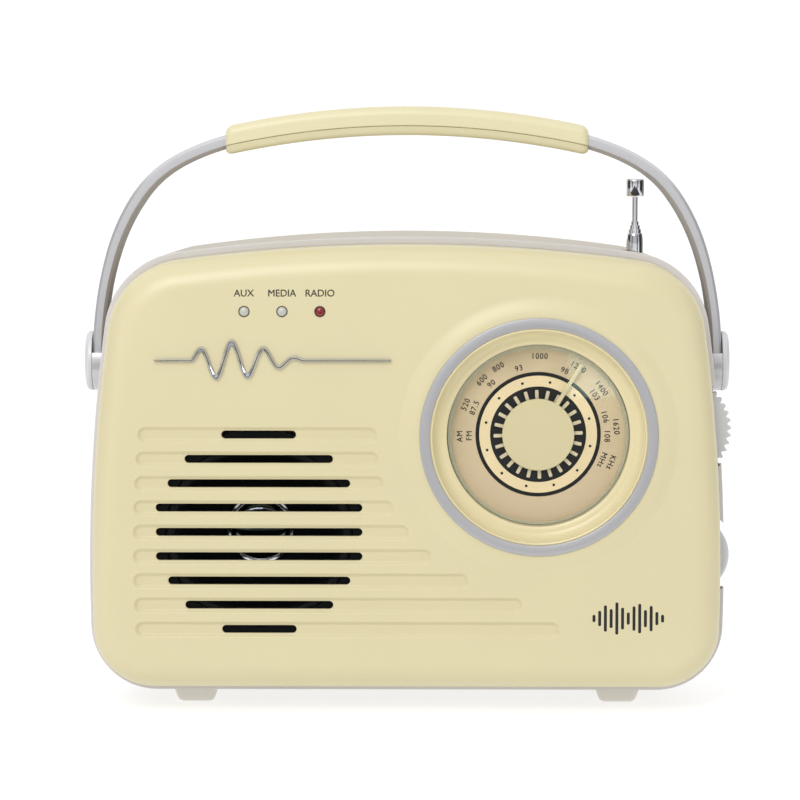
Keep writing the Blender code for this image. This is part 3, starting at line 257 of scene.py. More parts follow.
# a darker grey-brown for the strap's inner faces: painted shade where they face the cabinet
STRAP_INSIDE_SHADE = finish("strap_inside_painted_shade", (164, 158, 152), 0.62, mottle=0.03, grain=0.02, specular=0.15)
HUB_SILVER = finish(
    "hub_paint", (211, 211, 214), 0.46, 0.15, mottle=0.02, grain=0.006, grain_per_metre=4000
)
RING_SILVER = finish(
    "trim_ring_paint", (177, 177, 180), 0.38, 0.28, mottle=0.015, grain=0.005, grain_per_metre=4000
)
# a darker copy of the chrome for the dust cap's dome: painted shade inside the cabinet, while its rim keeps
# the bright chrome
DOME_CHROME_SHADED = finish("dome_chrome_painted_shade", (96, 102, 108), 0.12, 1.0, mottle=0.02, grain=0.0, spread=0.03)
CHROME = finish("bright_chrome", (214, 215, 219), 0.10, 1.0, mottle=0.01, grain=0.0, spread=0.03)
EMBLEM_CHROME = finish("plated_plastic", (205, 208, 220), 0.10, 1.0, mottle=0.02, grain=0.002, spread=0.04)
STEEL = finish(
    "zinc_plated_steel", (176, 178, 180), 0.30, 1.0, mottle=0.05, grain=0.006, stretch=(1, 12, 1)
)
BLACK = finish("black_plastic_satin", (26, 26, 28), 0.38, mottle=0.05, grain=0.02, grain_per_metre=1500)
CONE = finish(
    "black_paper_cone", (14, 17, 20), 0.8, mottle=0.12, mottle_per_metre=90, grain=0.08,
    grain_per_metre=900, specular=0.1
)
SURROUND = finish("rubber_surround", (11, 13, 15), 0.6, mottle=0.04, grain=0.02, specular=0.15)
FERRITE = finish("ferrite_ceramic", (58, 58, 60), 0.6, mottle=0.08, grain=0.06, grain_per_metre=700)
BLACK_STEEL = finish("black_painted_steel", (9, 11, 13), 0.7, mottle=0.05, grain=0.01, specular=0.1)
BOARD = finish("circuit_board_laminate", (150, 112, 62), 0.5, mottle=0.06, grain=0.01, stretch=(1, 1, 4))
COPPER = finish(
    "enamelled_wire", (190, 112, 62), 0.3, 1.0, mottle=0.05, grain=0.15, grain_per_metre=900,
    stretch=(1, .05, .05)
)
PRINT = finish("black_print", (20, 20, 22), 0.45, mottle=0.08, grain=0.0)
LABEL_PRINT = finish("olive_print", (52, 48, 34), 0.5, mottle=0.08, grain=0.0)
MARK_PRINT = finish("cream_print", (226, 214, 180), 0.42, mottle=0.05, grain=0.0)
BAND_PRINT = finish("pink_beige_print", (246, 226, 180), 0.42, mottle=0.04, mottle_per_metre=60, grain=0.0)
LAMP_GREY = finish("frosted_grey_lamp", (186, 186, 176), 0.26, mottle=0.02, grain=0.002, coat=0.4)
LAMP_RED = finish("dark_red_lamp", (126, 34, 36), 0.22, mottle=0.06, grain=0.002, coat=0.5)
# a dark ring in the clearance round each lamp: painted shade of the gap
LAMP_GAP_SHADE = finish("lamp_rim_plastic", (96, 92, 78), 0.4, mottle=0.05, grain=0.0)
WHITE_PRINT = finish("white_print", (225, 225, 222), 0.5, mottle=0.04, grain=0.0)
GOLD = finish("plated_contact", (214, 182, 110), 0.22, 1.0, mottle=0.03, grain=0.002)
PLATE = plate_finish()
LENS = lens_finish()

# ---------------------------------------------------------------- building pieces


def piece(name, bm, material, body=None, nodes=(), sharp=32.0, steady=False):
    """An object in metres from a bmesh in millimetres. It rides on body, and stands for the CAD nodes.

    steady weights the normals by face area, which keeps wide flat faces flat beside their rounded edges.
    """
    bmesh.ops.scale(bm, vec=(MM, MM, MM), verts=bm.verts)
    mesh = bpy.data.meshes.new(name)
    bm.to_mesh(mesh)
    bm.free()
    mesh.materials.append(material)
    obj = bpy.data.objects.new(name, mesh)
    bpy.context.scene.collection.objects.link(obj)
    if body is None:
        return obj
    return settle(obj, body, nodes, sharp, steady)


def settle(obj, body, nodes=(), sharp=32.0, steady=False):
    obj.data.shade_smooth()
    obj.data.set_sharp_from_angle(angle=math.radians(sharp))
    if steady:
        weighted = obj.modifiers.new("weighted", "WEIGHTED_NORMAL")
        weighted.keep_sharp = True
        weighted.weight = 100
    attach(obj, body)
    if nodes:
        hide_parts(*nodes)
    return obj


def carve(obj, steps):
    """Applies (operation, bmesh in millimetres) steps with exact booleans, and keeps only the result."""
    tools = []
    for operation, bm in steps:
        tool = piece("tool", bm, obj.data.materials[0])
        modifier = obj.modifiers.new("carve", "BOOLEAN")
        modifier.operation = operation
        modifier.solver = "EXACT"
        modifier.object = tool
        tools.append(tool)
    bpy.context.view_layer.update()
    graph = bpy.context.evaluated_depsgraph_get()
    carved = bpy.data.meshes.new_from_object(obj.evaluated_get(graph))
    obj.modifiers.clear()
    obj.data = carved
    for tool in tools:
        bpy.data.objects.remove(tool)
    return obj


def loft(rings, caps=True, ring=False, bm=None):
    """Joins loops of equal length. caps closes both ends, and ring joins the last loop to the first."""
    bm = bm or bmesh.new()
    loops = [[bm.verts.new(point) for point in loop] for loop in rings]
    pairs = list(zip(loops, loops[1:])) + ([(loops[-1], loops[0])] if ring else [])
    made = []
    for near, far in pairs:
        count = len(near)
        for i in range(count):
            j = (i + 1) % count
            made.append(bm.faces.new((near[i], near[j], far[j], far[i])))
    if caps and not ring:
        made.append(bm.faces.new(loops[0][::-1]))
        made.append(bm.faces.new(loops[-1]))
    bmesh.ops.recalc_face_normals(bm, faces=made)
    return bm


AXIS_TURNS = {
    "Z": Matrix.Identity(4),
    "Y": Matrix.Rotation(math.radians(-90), 4, "X"),
    "X": Matrix.Rotation(math.radians(90), 4, "Y"),
}


def turned(profile, axis, place, sides=64, closed=False, bm=None):
    """A profile of (radius, height along the axis), turned about the axis through place.

    An open profile starts and ends on the axis, a closed one makes a ring.
    """
    bm = bm or bmesh.new()
    matrix = Matrix.Translation(place) @ AXIS_TURNS[axis]
    turns = [2 * math.pi * i / sides for i in range(sides)]
    loops = []
    for radius, height in profile:
        if radius < 1e-6:
            loops.append([bm.verts.new(matrix @ Vector((0, 0, height)))])
        else:
            points = [Vector((radius * math.cos(t), radius * math.sin(t), height)) for t in turns]
            loops.append([bm.verts.new(matrix @ p) for p in points])
    pairs = list(zip(loops, loops[1:])) + ([(loops[-1], loops[0])] if closed else [])
    made = []
    for near, far in pairs:
        for i in range(sides):
            j = (i + 1) % sides
            corners = [near[i % len(near)], near[j % len(near)], far[j % len(far)], far[i % len(far)]]
            corners = list(dict.fromkeys(corners))
            if len(corners) > 2:
                made.append(bm.faces.new(corners))
    bmesh.ops.recalc_face_normals(bm, faces=made)
    return bm


def rod(radius, low, high, axis, place, sides=32):
    return turned([(0, low), (radius, low), (radius, high), (0, high)], axis, place, sides)


def block(low, high, bevel=0.0, bm=None):
    """A box with rounded edges."""
    bm = bm or bmesh.new()
    made = bmesh.ops.create_cube(bm, size=1.0)["verts"]
    low, high = Vector(low), Vector(high)
    bmesh.ops.scale(bm, vec=high - low, verts=made)
    bmesh.ops.translate(bm, vec=(high + low) / 2, verts=made)
    if bevel:
        edges = list({e for v in made for e in v.link_edges})
        bmesh.ops.bevel(bm, geom=edges, offset=bevel, segments=2, profile=0.5, affect="EDGES")
    return bm


def arc(centre_x, centre_z, radius, start, end, steps):
    turns = [math.radians(start + (end - start) * i / steps) for i in range(steps + 1)]
    return [(centre_x + radius * math.cos(a), centre_z + radius * math.sin(a)) for a in turns]


def circle(x, z, radius, steps=32):
    return arc(x, z, radius, 0, 360 - 360 / steps, steps - 1)


def circle_crossing(first, first_radius, second, second_radius):
    """The crossing of two circles that lies furthest to +X."""
    dx, dz = second[0] - first[0], second[1] - first[1]
    apart = math.hypot(dx, dz)
    along = (apart**2 + first_radius**2 - second_radius**2) / (2 * apart)
    aside = math.sqrt(first_radius**2 - along**2)
    return max(
        (
            first[0] + (along * dx - sign * aside * dz) / apart,
            first[1] + (along * dz + sign * aside * dx) / apart
        )
        for sign in (1, -1)
    )


def angle_from(centre, point):
    return math.degrees(math.atan2(point[1] - centre[1], point[0] - centre[0]))


def cabinet_outline(grow, side_steps=22, fillet_steps=16, top_steps=22):
    """The cabinet's outline from the front, anticlockwise, pushed outwards by grow."""
    side, top = (HALF_WIDTH - SIDE_RADIUS, WIDEST_Z), (0.0, SHELL_TOP_Z - TOP_RADIUS)
    upper = circle_crossing(side, SIDE_RADIUS - TOP_FILLET, top, TOP_RADIUS - TOP_FILLET)
    lower_z, reach = SHELL_BASE_Z + BASE_FILLET, SIDE_RADIUS - BASE_FILLET
    lower = (side[0] + math.sqrt(reach**2 - (lower_z - WIDEST_Z) ** 2), lower_z)
    base_turn, side_turn = angle_from(side, lower), angle_from(side, upper)
    top_turn = angle_from(top, upper)
    right = arc(*lower, BASE_FILLET + grow, -90, base_turn, fillet_steps)
    right += arc(*side, SIDE_RADIUS + grow, base_turn, side_turn, side_steps)[1:]
    right += arc(*upper, TOP_FILLET + grow, side_turn, top_turn, fillet_steps)[1:]
    right += arc(*top, TOP_RADIUS + grow, top_turn, 90, top_steps)[1:]
    return right + [(-x, z) for x, z in reversed(right[:-1])]


def pill(left, right, middle_z, height, grow=0.0, steps=14):
    """A slot shape with round ends that touch left and right, pushed outwards by grow."""
    radius = height / 2
    ends = arc(right - radius, middle_z, radius + grow, -90, 90, steps)
    return ends + arc(left + radius, middle_z, radius + grow, 90, 270, steps)


def rounded_box(x, z, width, height, corner=0.8, steps=5):
    """A rectangle with rounded corners, anticlockwise."""
    w, h = width / 2 - corner, height / 2 - corner
    found = []
    for sx, sz, start in ((1, -1, -90), (1, 1, 0), (-1, 1, 90), (-1, -1, 180)):
        found += arc(x + sx * w, z + sz * h, corner, start, start + 90, steps)
    return found


def at_y(outline, y):
    return [(x, y, z) for x, z in outline]


def prism(outline, front, back, bm=None):
    return loft([at_y(outline, front), at_y(outline, back)], bm=bm)


def grown(outline, distance):
    """A closed convex outline, anticlockwise, pushed outwards by distance."""
    count = len(outline)
    found = []
    for i, (x, z) in enumerate(outline):
        before, after = outline[i - 1], outline[(i + 1) % count]
        along = Vector((after[0] - before[0], after[1] - before[1])).normalized()
        found.append((x + along.y * distance, z - along.x * distance))
    return found


def flared(outline, mouth, deep, flare, rise=0.3, bm=None):
    """A cutter from y = mouth to y = deep. Its mouth widens by flare, which leaves a chamfered edge."""
    out = 1 if mouth > deep else -1
    rings = [
        at_y(grown(outline, flare + rise), mouth + out * rise),
        at_y(grown(outline, flare), mouth),
        at_y(outline, mouth - out * flare),
        at_y(outline, deep),
    ]
    return loft(rings, bm=bm)


def smooth_path(points, steps):
    """A Catmull-Rom curve through the points, steps pieces to each stretch."""
    vectors = [Vector(p) for p in points]
    padded = [2 * vectors[0] - vectors[1], *vectors, 2 * vectors[-1] - vectors[-2]]
    found = []
    for a, b, c, d in zip(padded, padded[1:], padded[2:], padded[3:]):
        for i in range(steps):
            t = i / steps
            square = (2 * a - 5 * b + 4 * c - d) * t**2
            cube = (3 * b - a - 3 * c + d) * t**3
            found.append((2 * b + (c - a) * t + square + cube) / 2)
    return found + [vectors[-1]]


def quarter(radius, steps):
    """(how far in, how far down) along a rounded edge, from its flat face to its side."""
    turns = [math.radians(90 * i / steps) for i in range(steps + 1)]
    return [(radius * (1 - math.sin(a)), radius * (1 - math.cos(a))) for a in turns]


def join(parts):
    """One bmesh from several."""
    whole = bmesh.new()
    for part in parts:
        mesh = bpy.data.meshes.new("part")
        part.to_mesh(mesh)
        part.free()
        whole.from_mesh(mesh)
        bpy.data.meshes.remove(mesh)
    return whole


# ---------------------------------------------------------------- lettering


def letters(text, size, spacing=1.0):
    """Text as a closed, thin mesh in the X-Z plane, centred, its capitals `size` high."""
    curve = bpy.data.curves.new("text", "FONT")
    curve.body = text
    curve.size = 1.0
    curve.align_x = "CENTER"
    curve.extrude = 0.012
    curve.space_character = spacing
    curve.resolution_u = 5
    obj = bpy.data.objects.new("text", curve)
    bpy.context.scene.collection.objects.link(obj)
    bpy.context.view_layer.update()
    mesh = bpy.data.meshes.new_from_object(obj.evaluated_get(bpy.context.evaluated_depsgraph_get()))
    bm = bmesh.new()
    bm.from_mesh(mesh)
    bpy.data.objects.remove(obj)
    bpy.data.meshes.remove(mesh)
    bmesh.ops.remove_doubles(bm, verts=bm.verts, dist=0.0004)
    scale = size / CAP_SHARE
    bmesh.ops.scale(bm, vec=(scale, scale, scale), verts=bm.verts)
    bmesh.ops.translate(bm, vec=(0, -size / 2, 0), verts=bm.verts)
    bmesh.ops.rotate(bm, matrix=Matrix.Rotation(math.radians(90), 3, "X"), verts=bm.verts)
    bolder = bm.copy()
    for copy, way in ((bm, -1), (bolder, 1)):
        bmesh.ops.translate(copy, vec=(way * BOLD * size, way * 0.002, way * BOLD * size), verts=copy.verts)
    return join([bm, bolder])


def place_letters(text, size, x, y, z, turn=0.0, narrow=1.0, spacing=1.0):
    """turn is in degrees, clockwise from the front."""
    bm = letters(text, size, spacing=spacing)
    bmesh.ops.scale(bm, vec=(narrow, 1, 1), verts=bm.verts)
    bmesh.ops.rotate(bm, matrix=Matrix.Rotation(math.radians(turn), 3, "Y"), verts=bm.verts)
    bmesh.ops.translate(bm, vec=(x, y, z), verts=bm.verts)
    return bm


# ---------------------------------------------------------------- cabinet


def draw_in(bm):
    """Narrows the housing evenly from the seam to its back."""
    for vertex in bm.verts:
        share = (vertex.co.y - SEAM_Y) / (BACK_Y - SEAM_Y)
        vertex.co.x *= 1 - max(share, 0.0) * SIDE_DRAFT / HALF_WIDTH
    return bm


def grille_rows():
    for row in range(GRILLE_ROWS):
        z = GRILLE_Z + GRILLE_PITCH * (GRILLE_ROWS // 2 - row)
        left = GROOVE_LEFT + 0.1 * (row - 5) ** 2
        if row < GRILLE_ROWS - len(LONG_GROOVE_ENDS):
            right = DIAL_X - math.sqrt(GROOVE_DIAL_CLEARANCE**2 - (z - DIAL_Z) ** 2)
        else:
            right = LONG_GROOVE_ENDS[row - GRILLE_ROWS]
        half = SLOT_HALF_LENGTHS[min(row, GRILLE_ROWS - 1 - row)]
        yield z, left, right, half


def groove(left, right, z):
    """A cutter with softly rolled walls: wide at the face, narrower at its flat floor."""
    wall_in, wall_out, steps = 1.38, 0.62, 8
    rings = [at_y(pill(left, right, z, GROOVE_HEIGHT, wall_out + 0.9), FACE_Y - 0.6)]
    for i in range(steps + 1):
        t = 0.1 + 0.9 * i / steps
        depth = GROOVE_DEPTH * t * t * (3 - 2 * t) - 0.07
        rings.append(
            at_y(pill(left, right, z, GROOVE_HEIGHT, wall_out - (wall_in + wall_out) * t), FACE_Y + depth)
        )
    return loft(rings)


def shell_outline(inset):
    """The shell's outline from the front, inside the housing's, so that the housing's lip shows all round."""
    risen = []
    for x, z in cabinet_outline(-SHELL_INSET - inset):
        share = min(1.0, max(0.0, (WIDEST_Z - z) / (WIDEST_Z - SHELL_BASE_Z)))
        risen.append((x, z + BASE_RISE * share))
    return risen


def make_front_shell():
    outer = [at_y(shell_outline(inset), FACE_Y + down) for inset, down in quarter(FACE_ROUND, 14)]
    outer += [at_y(shell_outline(0), y) for y in (-30.0, SEAM_Y - 0.3)]
    outer += [at_y(shell_outline(0.3), SEAM_Y)]
    inner_round = quarter(FACE_ROUND - WALL, 6)
    inner = [at_y(cabinet_outline(-WALL - inset), FACE_Y + WALL + down) for inset, down in inner_round]
    inner += [at_y(cabinet_outline(-WALL), SEAM_Y)]
    shell = piece("front_shell_moulding", loft(outer + inner[::-1]), CREAM)

    steps = 18
    boss = [(0, FACE_Y + 1.5), (BOSS_FOOT, FACE_Y + 1.5)]
    for i in range(steps + 1):
        t = i / steps
        lift = BOSS_HEIGHT * t * t * (3 - 2 * t)
        boss.append((BOSS_FOOT - (BOSS_FOOT - BOSS_TOP) * t, FACE_Y + 0.03 - lift))
    boss.append((0, boss[-1][1]))
    dial = (DIAL_X, 0, DIAL_Z)
    work = [("UNION", turned(boss, "Y", dial, 160))]
    rows = list(grille_rows())
    work.append(("DIFFERENCE", join([groove(left, right, z) for z, left, right, _ in rows])))
    floor = FACE_Y + GROOVE_DEPTH - 0.07
    slots = []
    for z, _, _, half in rows:
        left, right = GRILLE_X - half, GRILLE_X + half
        rings = [
            at_y(pill(left, right, z, SLOT_HEIGHT, 0.62), floor - 0.3),
            at_y(pill(left, right, z, SLOT_HEIGHT, 0.32), floor),
            at_y(pill(left, right, z, SLOT_HEIGHT, 0.08), floor + 0.14),
            at_y(pill(left, right, z, SLOT_HEIGHT, 0.0), floor + 0.36),
            at_y(pill(left, right, z, SLOT_HEIGHT, 0.0), FACE_Y + 8),
        ]
        slots.append(loft(rings))
    work.append(("DIFFERENCE", join(slots)))
    work.append(("DIFFERENCE", rod(DIAL_HOLE, FACE_Y - 5, FACE_Y + 8, "Y", dial, 128)))
    lamp_holes = [flared(circle(x, LAMP_Z, LAMP_RADIUS + GAP), FACE_Y, FACE_Y + 8, 0.1) for x in LAMP_XS]
    work.append(("DIFFERENCE", join(lamp_holes)))
    posts = [prism(circle(x, z, POST_RADIUS, 24), FACE_Y + WALL / 2, BACK_Y - WALL - GAP) for x, z in POSTS]
    bores = [prism(circle(x, z, SCREW_SHANK + GAP, 16), BACK_Y - 18, BACK_Y) for x, z in POSTS]
    work += [("UNION", join(posts)), ("DIFFERENCE", join(bores))]
    settle(carve(shell, work), "cabinet", ["front_shell"], 28, steady=True)


def switch_slot(z, travel, direction):
    return rounded_box(SWITCH_X + direction * travel / 2, z, 5.6 + travel, 3.8, 0.6)


def make_rear_housing():
    seam = SEAM_Y + GAP
    outer = [at_y(cabinet_outline(LIP - inset), seam + down) for inset, down in quarter(0.5, 3)]
    outer += [at_y(cabinet_outline(LIP), y) for y in (-8.0, 12.0, 28.0)]
    outer += [
        at_y(cabinet_outline(LIP - inset), BACK_Y - down) for inset, down in quarter(BACK_ROUND, 10)[::-1]
    ]
    inner = [at_y(cabinet_outline(LIP - WALL), y) for y in (seam, 12.0)]
    inner_round = quarter(BACK_ROUND - WALL, 5)[::-1]
    inner += [
        at_y(cabinet_outline(LIP - WALL - inset), BACK_Y - WALL - down) for inset, down in inner_round
    ]
    bm = loft(outer[::-1] + inner)
    housing = piece("rear_housing_moulding", draw_in(bm), HOUSING)

    door = rounded_box(
        0, (DOOR_BASE_Z + DOOR_TOP_Z) / 2, 2 * (DOOR_HALF + DOOR_GAP),
        DOOR_TOP_Z - DOOR_BASE_Z + 2 * DOOR_GAP, 1.2
    )
    inside, edge = BACK_Y - 8, 0.35
    panel = rounded_box(89.5, 130.0, 66.0, 52.0, 4.0)
    mouths = [
        door,
        rounded_box(INLET_X, INLET_Z, INLET_WIDTH + 2 * GAP, INLET_HEIGHT + 2 * GAP, 1.0),
        *[circle(x, z, SCREW_HEAD + 0.4) for x, z in POSTS],
        *[
            pill(
                VENT_X - VENT_HALF, VENT_X + VENT_HALF, VENT_Z + VENT_PITCH * (i - (VENT_ROWS - 1) / 2), 3.0
            )
            for i in range(VENT_ROWS)
        ],
    ]
    recessed = BACK_Y - PANEL_DEPTH
    work = [("DIFFERENCE", flared(panel, BACK_Y, recessed, 0.5))]
    depths = [inside, inside, *[BACK_Y - 1.3] * len(POSTS), *[inside] * VENT_ROWS]
    work.append(("DIFFERENCE", join([flared(m, BACK_Y, deep, edge) for m, deep in zip(mouths, depths)])))
    small = [
        rounded_box(USB_X, USB_Z, USB_WIDTH + 2 * GAP, USB_HEIGHT + 2 * GAP, 0.6),
        rounded_box(CARD_X, CARD_Z, CARD_WIDTH + 2 * GAP, CARD_HEIGHT + 2 * GAP, 0.6),
        circle(JACK_X, JACK_Z, JACK_RADIUS + GAP),
        switch_slot(FUNCTION_Z, FUNCTION_TRAVEL, -1),
        switch_slot(BAND_Z, BAND_TRAVEL, 1),
        *[circle(x, BUTTON_Z, BUTTON_RADIUS + GAP) for x in BUTTON_XS],
    ]
    work.append(("DIFFERENCE", join([flared(m, recessed, inside, 0.2) for m in small])))
    work.append(
        ("DIFFERENCE", join([prism(circle(x, z, SCREW_SHANK + GAP, 16), inside, BACK_Y) for x, z in POSTS]))
    )
    low, high = SEAM_Y - 2, WHEEL_BACK_Y + 0.6
    for x, z, radius in (
        (TUNING_X, TUNING_Z, TUNING_RADIUS + 0.8), (VOLUME_X, VOLUME_Z, VOLUME_RADIUS + 3.3)
    ):
        work.append(("DIFFERENCE", prism(circle(x, z, radius, 72), low, high)))
    work.append(("DIFFERENCE", rod(5.5, 180, 230, "Z", (ANTENNA_X, ANTENNA_Y, 0))))
    for low, high in ((-150, -110), (110, 150)):
        work.append(("DIFFERENCE", rod(PIN_RADIUS + GAP, low, high, "X", (0, PIVOT_Y, PIVOT_Z))))
    carve(housing, work)
    # the faces by the seam get the paler copy: painted light on the lip beside the shell
    housing.data.materials.append(HOUSING_LIP_LIT)
    for face in housing.data.polygons:
        face.material_index = int(face.center.y < (seam + 0.6) * MM)
    settle(housing, "cabinet", ["rear_housing"], 28, steady=True)


def make_feet():
    top = SHELL_BASE_Z - LIP - GAP
    for row, y in zip(("front", "rear"), FOOT_YS):
        for side, x in (("left", -FOOT_X), ("right", FOOT_X)):
            rings = []
            for share, inset in ((0.0, 0.9), (0.06, 0.4), (0.16, 0.1), (0.3, 0.0), (0.9, 0.0), (1.0, 0.25)):
                width = FOOT_SOLE + (FOOT_TOP - FOOT_SOLE) * share - 2 * inset
                length = FOOT_LENGTH - 1.2 * (1 - share) - 2 * inset
                outline = rounded_box(x, y, width, length, 1.8)
                rings.append([(px, py, top * share) for px, py in outline])
            name = f"foot_{row}_{side}"
            piece(name + "_pad", loft(rings), FOOT, "cabinet", [name], 40, steady=True)


# ---------------------------------------------------------------- dial, lamps, emblem


def make_dial():
    place = (DIAL_X, 0, DIAL_Z)
    boss_front = FACE_Y - BOSS_HEIGHT
    back = boss_front - 0.02
    ring = [
        (RING_OUTER, back), (RING_OUTER, RING_FRONT_Y + 0.45), (RING_OUTER - 0.12, RING_FRONT_Y + 0.16),
        (RING_OUTER - 0.42, RING_FRONT_Y + 0.02), (RING_OUTER - 2.2, RING_FRONT_Y),
        (RING_INNER + 0.42, RING_FRONT_Y + 0.02), (RING_INNER + 0.12, RING_FRONT_Y + 0.16),
        (RING_INNER, RING_FRONT_Y + 0.45), (RING_INNER, back),
    ]
    piece(
        "dial_trim_ring_moulding", turned(ring, "Y", place, 160, True), RING_SILVER, "cabinet",
        ["dial_trim_ring"], 50
    )

    lip_y, lip_radius = RING_FRONT_Y + 0.6, RING_INNER - 1.0
    spread, depth, steps = lip_radius - FUNNEL_FLAT, LENS_Y - 0.25 - lip_y, 14
    turns = [math.radians(90 * i / steps) for i in range(steps + 1)]
    funnel = [
        (FUNNEL_FLAT + spread * math.cos(a), lip_y + 0.2 + (depth - 0.2) * math.sin(a))
        for a in turns
    ]
    funnel += [(FUNNEL_INNER + 0.3, LENS_Y - 0.05), (FUNNEL_INNER, LENS_Y + 0.2)]
    inside = FACE_Y + WALL + GAP
    bezel = [
        (FUNNEL_INNER, PLATE_Y + 1.4), (FUNNEL_INNER + 2.5, PLATE_Y + 1.4),
        (FUNNEL_INNER + 2.5, inside + 1.7),
        (DIAL_HOLE + 3.3, inside + 1.7), (DIAL_HOLE + 3.3, inside), (DIAL_HOLE - GAP, inside),
        (DIAL_HOLE - GAP, boss_front), (RING_INNER - 0.08, boss_front), (RING_INNER - 0.08, lip_y + 0.35),
        (RING_INNER - 0.25, lip_y + 0.1), (RING_INNER - 0.6, lip_y), *funnel,
    ]
    piece(
        "dial_bezel_moulding", turned(bezel, "Y", place, 160, True), CREAM_DIAL, "cabinet", ["dial_bezel"],
        40
    )

    lens = [
        (0, LENS_Y + 2.9), (LENS_RADIUS, LENS_Y + 2.9), (LENS_RADIUS, LENS_Y + 1.3),
        (LENS_RADIUS - 0.5, LENS_Y + 0.85),
        (LENS_RADIUS - 1.6, LENS_Y + 0.1), (LENS_RADIUS - 2.0, LENS_Y), (0, LENS_Y),
    ]
    piece(
        "dial_lens_moulding", turned(lens, "Y", place, 128), LENS, "cabinet", ["dial_lens"], 8
    )

    plate = [(LENS_RADIUS, PLATE_Y), (LENS_RADIUS, PLATE_Y + 1.0), (2.3, PLATE_Y + 1.0), (2.3, PLATE_Y)]
    piece(
        "dial_scale_plate", turned(plate, "Y", place, 128, True), PLATE, "cabinet", ["dial_plate"],
    )


PRINT_Y = PLATE_Y - 0.03  # the middle of the ink on the scale plate
AM_RADIUS, FM_RADIUS, DIGIT_SIZE = 34.5, 30.4, 2.5
AM_SCALE = (
    ("AM", -91.6), ("520", -67.7), ("600", -46.0), ("800", -30.7), ("1000", 0.8),
    ("1200", 30.5), ("1400", 53.7), ("1620", 84.0), ("KHz", 111.0),
)
FM_SCALE = (
    ("FM", -91.3), ("87.5", -67.4), ("90", -42.7), ("93", -16.4), ("98", 22.3),
    ("103", 54.7), ("106", 75.0), ("108", 91.3), ("MHz", 111.7),
)


def disc_ring(outer, inner, y, thick, sides=128, place=(DIAL_X, 0, DIAL_Z)):
    profile = [(outer, y - thick), (outer, y + thick), (inner, y + thick), (inner, y - thick)]
    return turned(profile, "Y", place, sides, True)


def make_scale():
    """Two rings of figures, a fine ring, twelve dots and a broad ring with marks, printed on the plate."""
    ink = [disc_ring(27.5, 25.85, PRINT_Y, 0.03), disc_ring(21.1, POINTER_HUB - 0.6, PRINT_Y, 0.03)]
    for scale, radius in ((AM_SCALE, AM_RADIUS), (FM_SCALE, FM_RADIUS)):
        for text, turn in scale:
            a = math.radians(turn)
            x, z = DIAL_X + radius * math.sin(a), DIAL_Z + radius * math.cos(a)
            ink.append(place_letters(text, DIGIT_SIZE, x, PRINT_Y, z, turn, 0.92, 1.16))
    for i in range(12):
        a = math.radians(12.7 + 30 * i)
        x, z = DIAL_X + 23.4 * math.sin(a), DIAL_Z + 23.4 * math.cos(a)
        ink.append(prism(circle(x, z, 0.6, 20), PRINT_Y - 0.06, PRINT_Y + 0.03))
    piece("scale_ink", join(ink), PRINT, "cabinet")
    piece(
        "scale_inner_band", disc_ring(25.86, 21.09, PRINT_Y + 0.012, 0.018), BAND_PRINT, "cabinet",
    )

    marks = []
    for i in range(24):
        bar = prism(rounded_box(0, 17.6, 1.5, 3.9, 0.3, 3), PRINT_Y - 0.16, PRINT_Y + 0.03)
        bmesh.ops.rotate(bar, matrix=Matrix.Rotation(math.radians(15 * i - 2), 3, "Y"), verts=bar.verts)
        bmesh.ops.translate(bar, vec=(DIAL_X, 0, DIAL_Z), verts=bar.verts)
        marks.append(bar)
    piece("scale_marks", join(marks), MARK_PRINT, "cabinet")


def make_pointer():
    place = Vector((DIAL_X, 0, DIAL_Z))
    front = PLATE_Y - 2.4
    disc = [
        (0, CORD_Y + 2), (2.0, CORD_Y + 2), (2.0, front + 1.2), (POINTER_HUB - 0.2, front + 1.2),
        (POINTER_HUB, front + 1.0), (POINTER_HUB, front + 0.35), (POINTER_HUB - 0.12, front + 0.1),
        (POINTER_HUB - 0.4, front), (0, front),
    ]
    pointer = piece("dial_pointer_moulding", turned(disc, "Y", place, 128), CREAM_POINTER)
    low, high, half = POINTER_HUB - 2, POINTER_TIP, 0.95
    rings = []
    for along, width in ((low, half), (high - 0.5, half * 0.8), (high, half * 0.5)):
        rings.append([
            (-width, front + 0.8, along), (width, front + 0.8, along), (width, front + 0.25, along),
            (width * 0.5, front + 0.02, along), (-width * 0.5, front + 0.02, along),
            (-width, front + 0.25, along),
        ])
    needle = loft(rings)
    bmesh.ops.rotate(
        needle, matrix=Matrix.Rotation(math.radians(POINTER_ANGLE), 3, "Y"), verts=needle.verts
    )
    bmesh.ops.translate(needle, vec=place, verts=needle.verts)
    settle(
        carve(pointer, [("UNION", needle)]), "pointer", ["dial_pointer"], 40, steady=True
    )


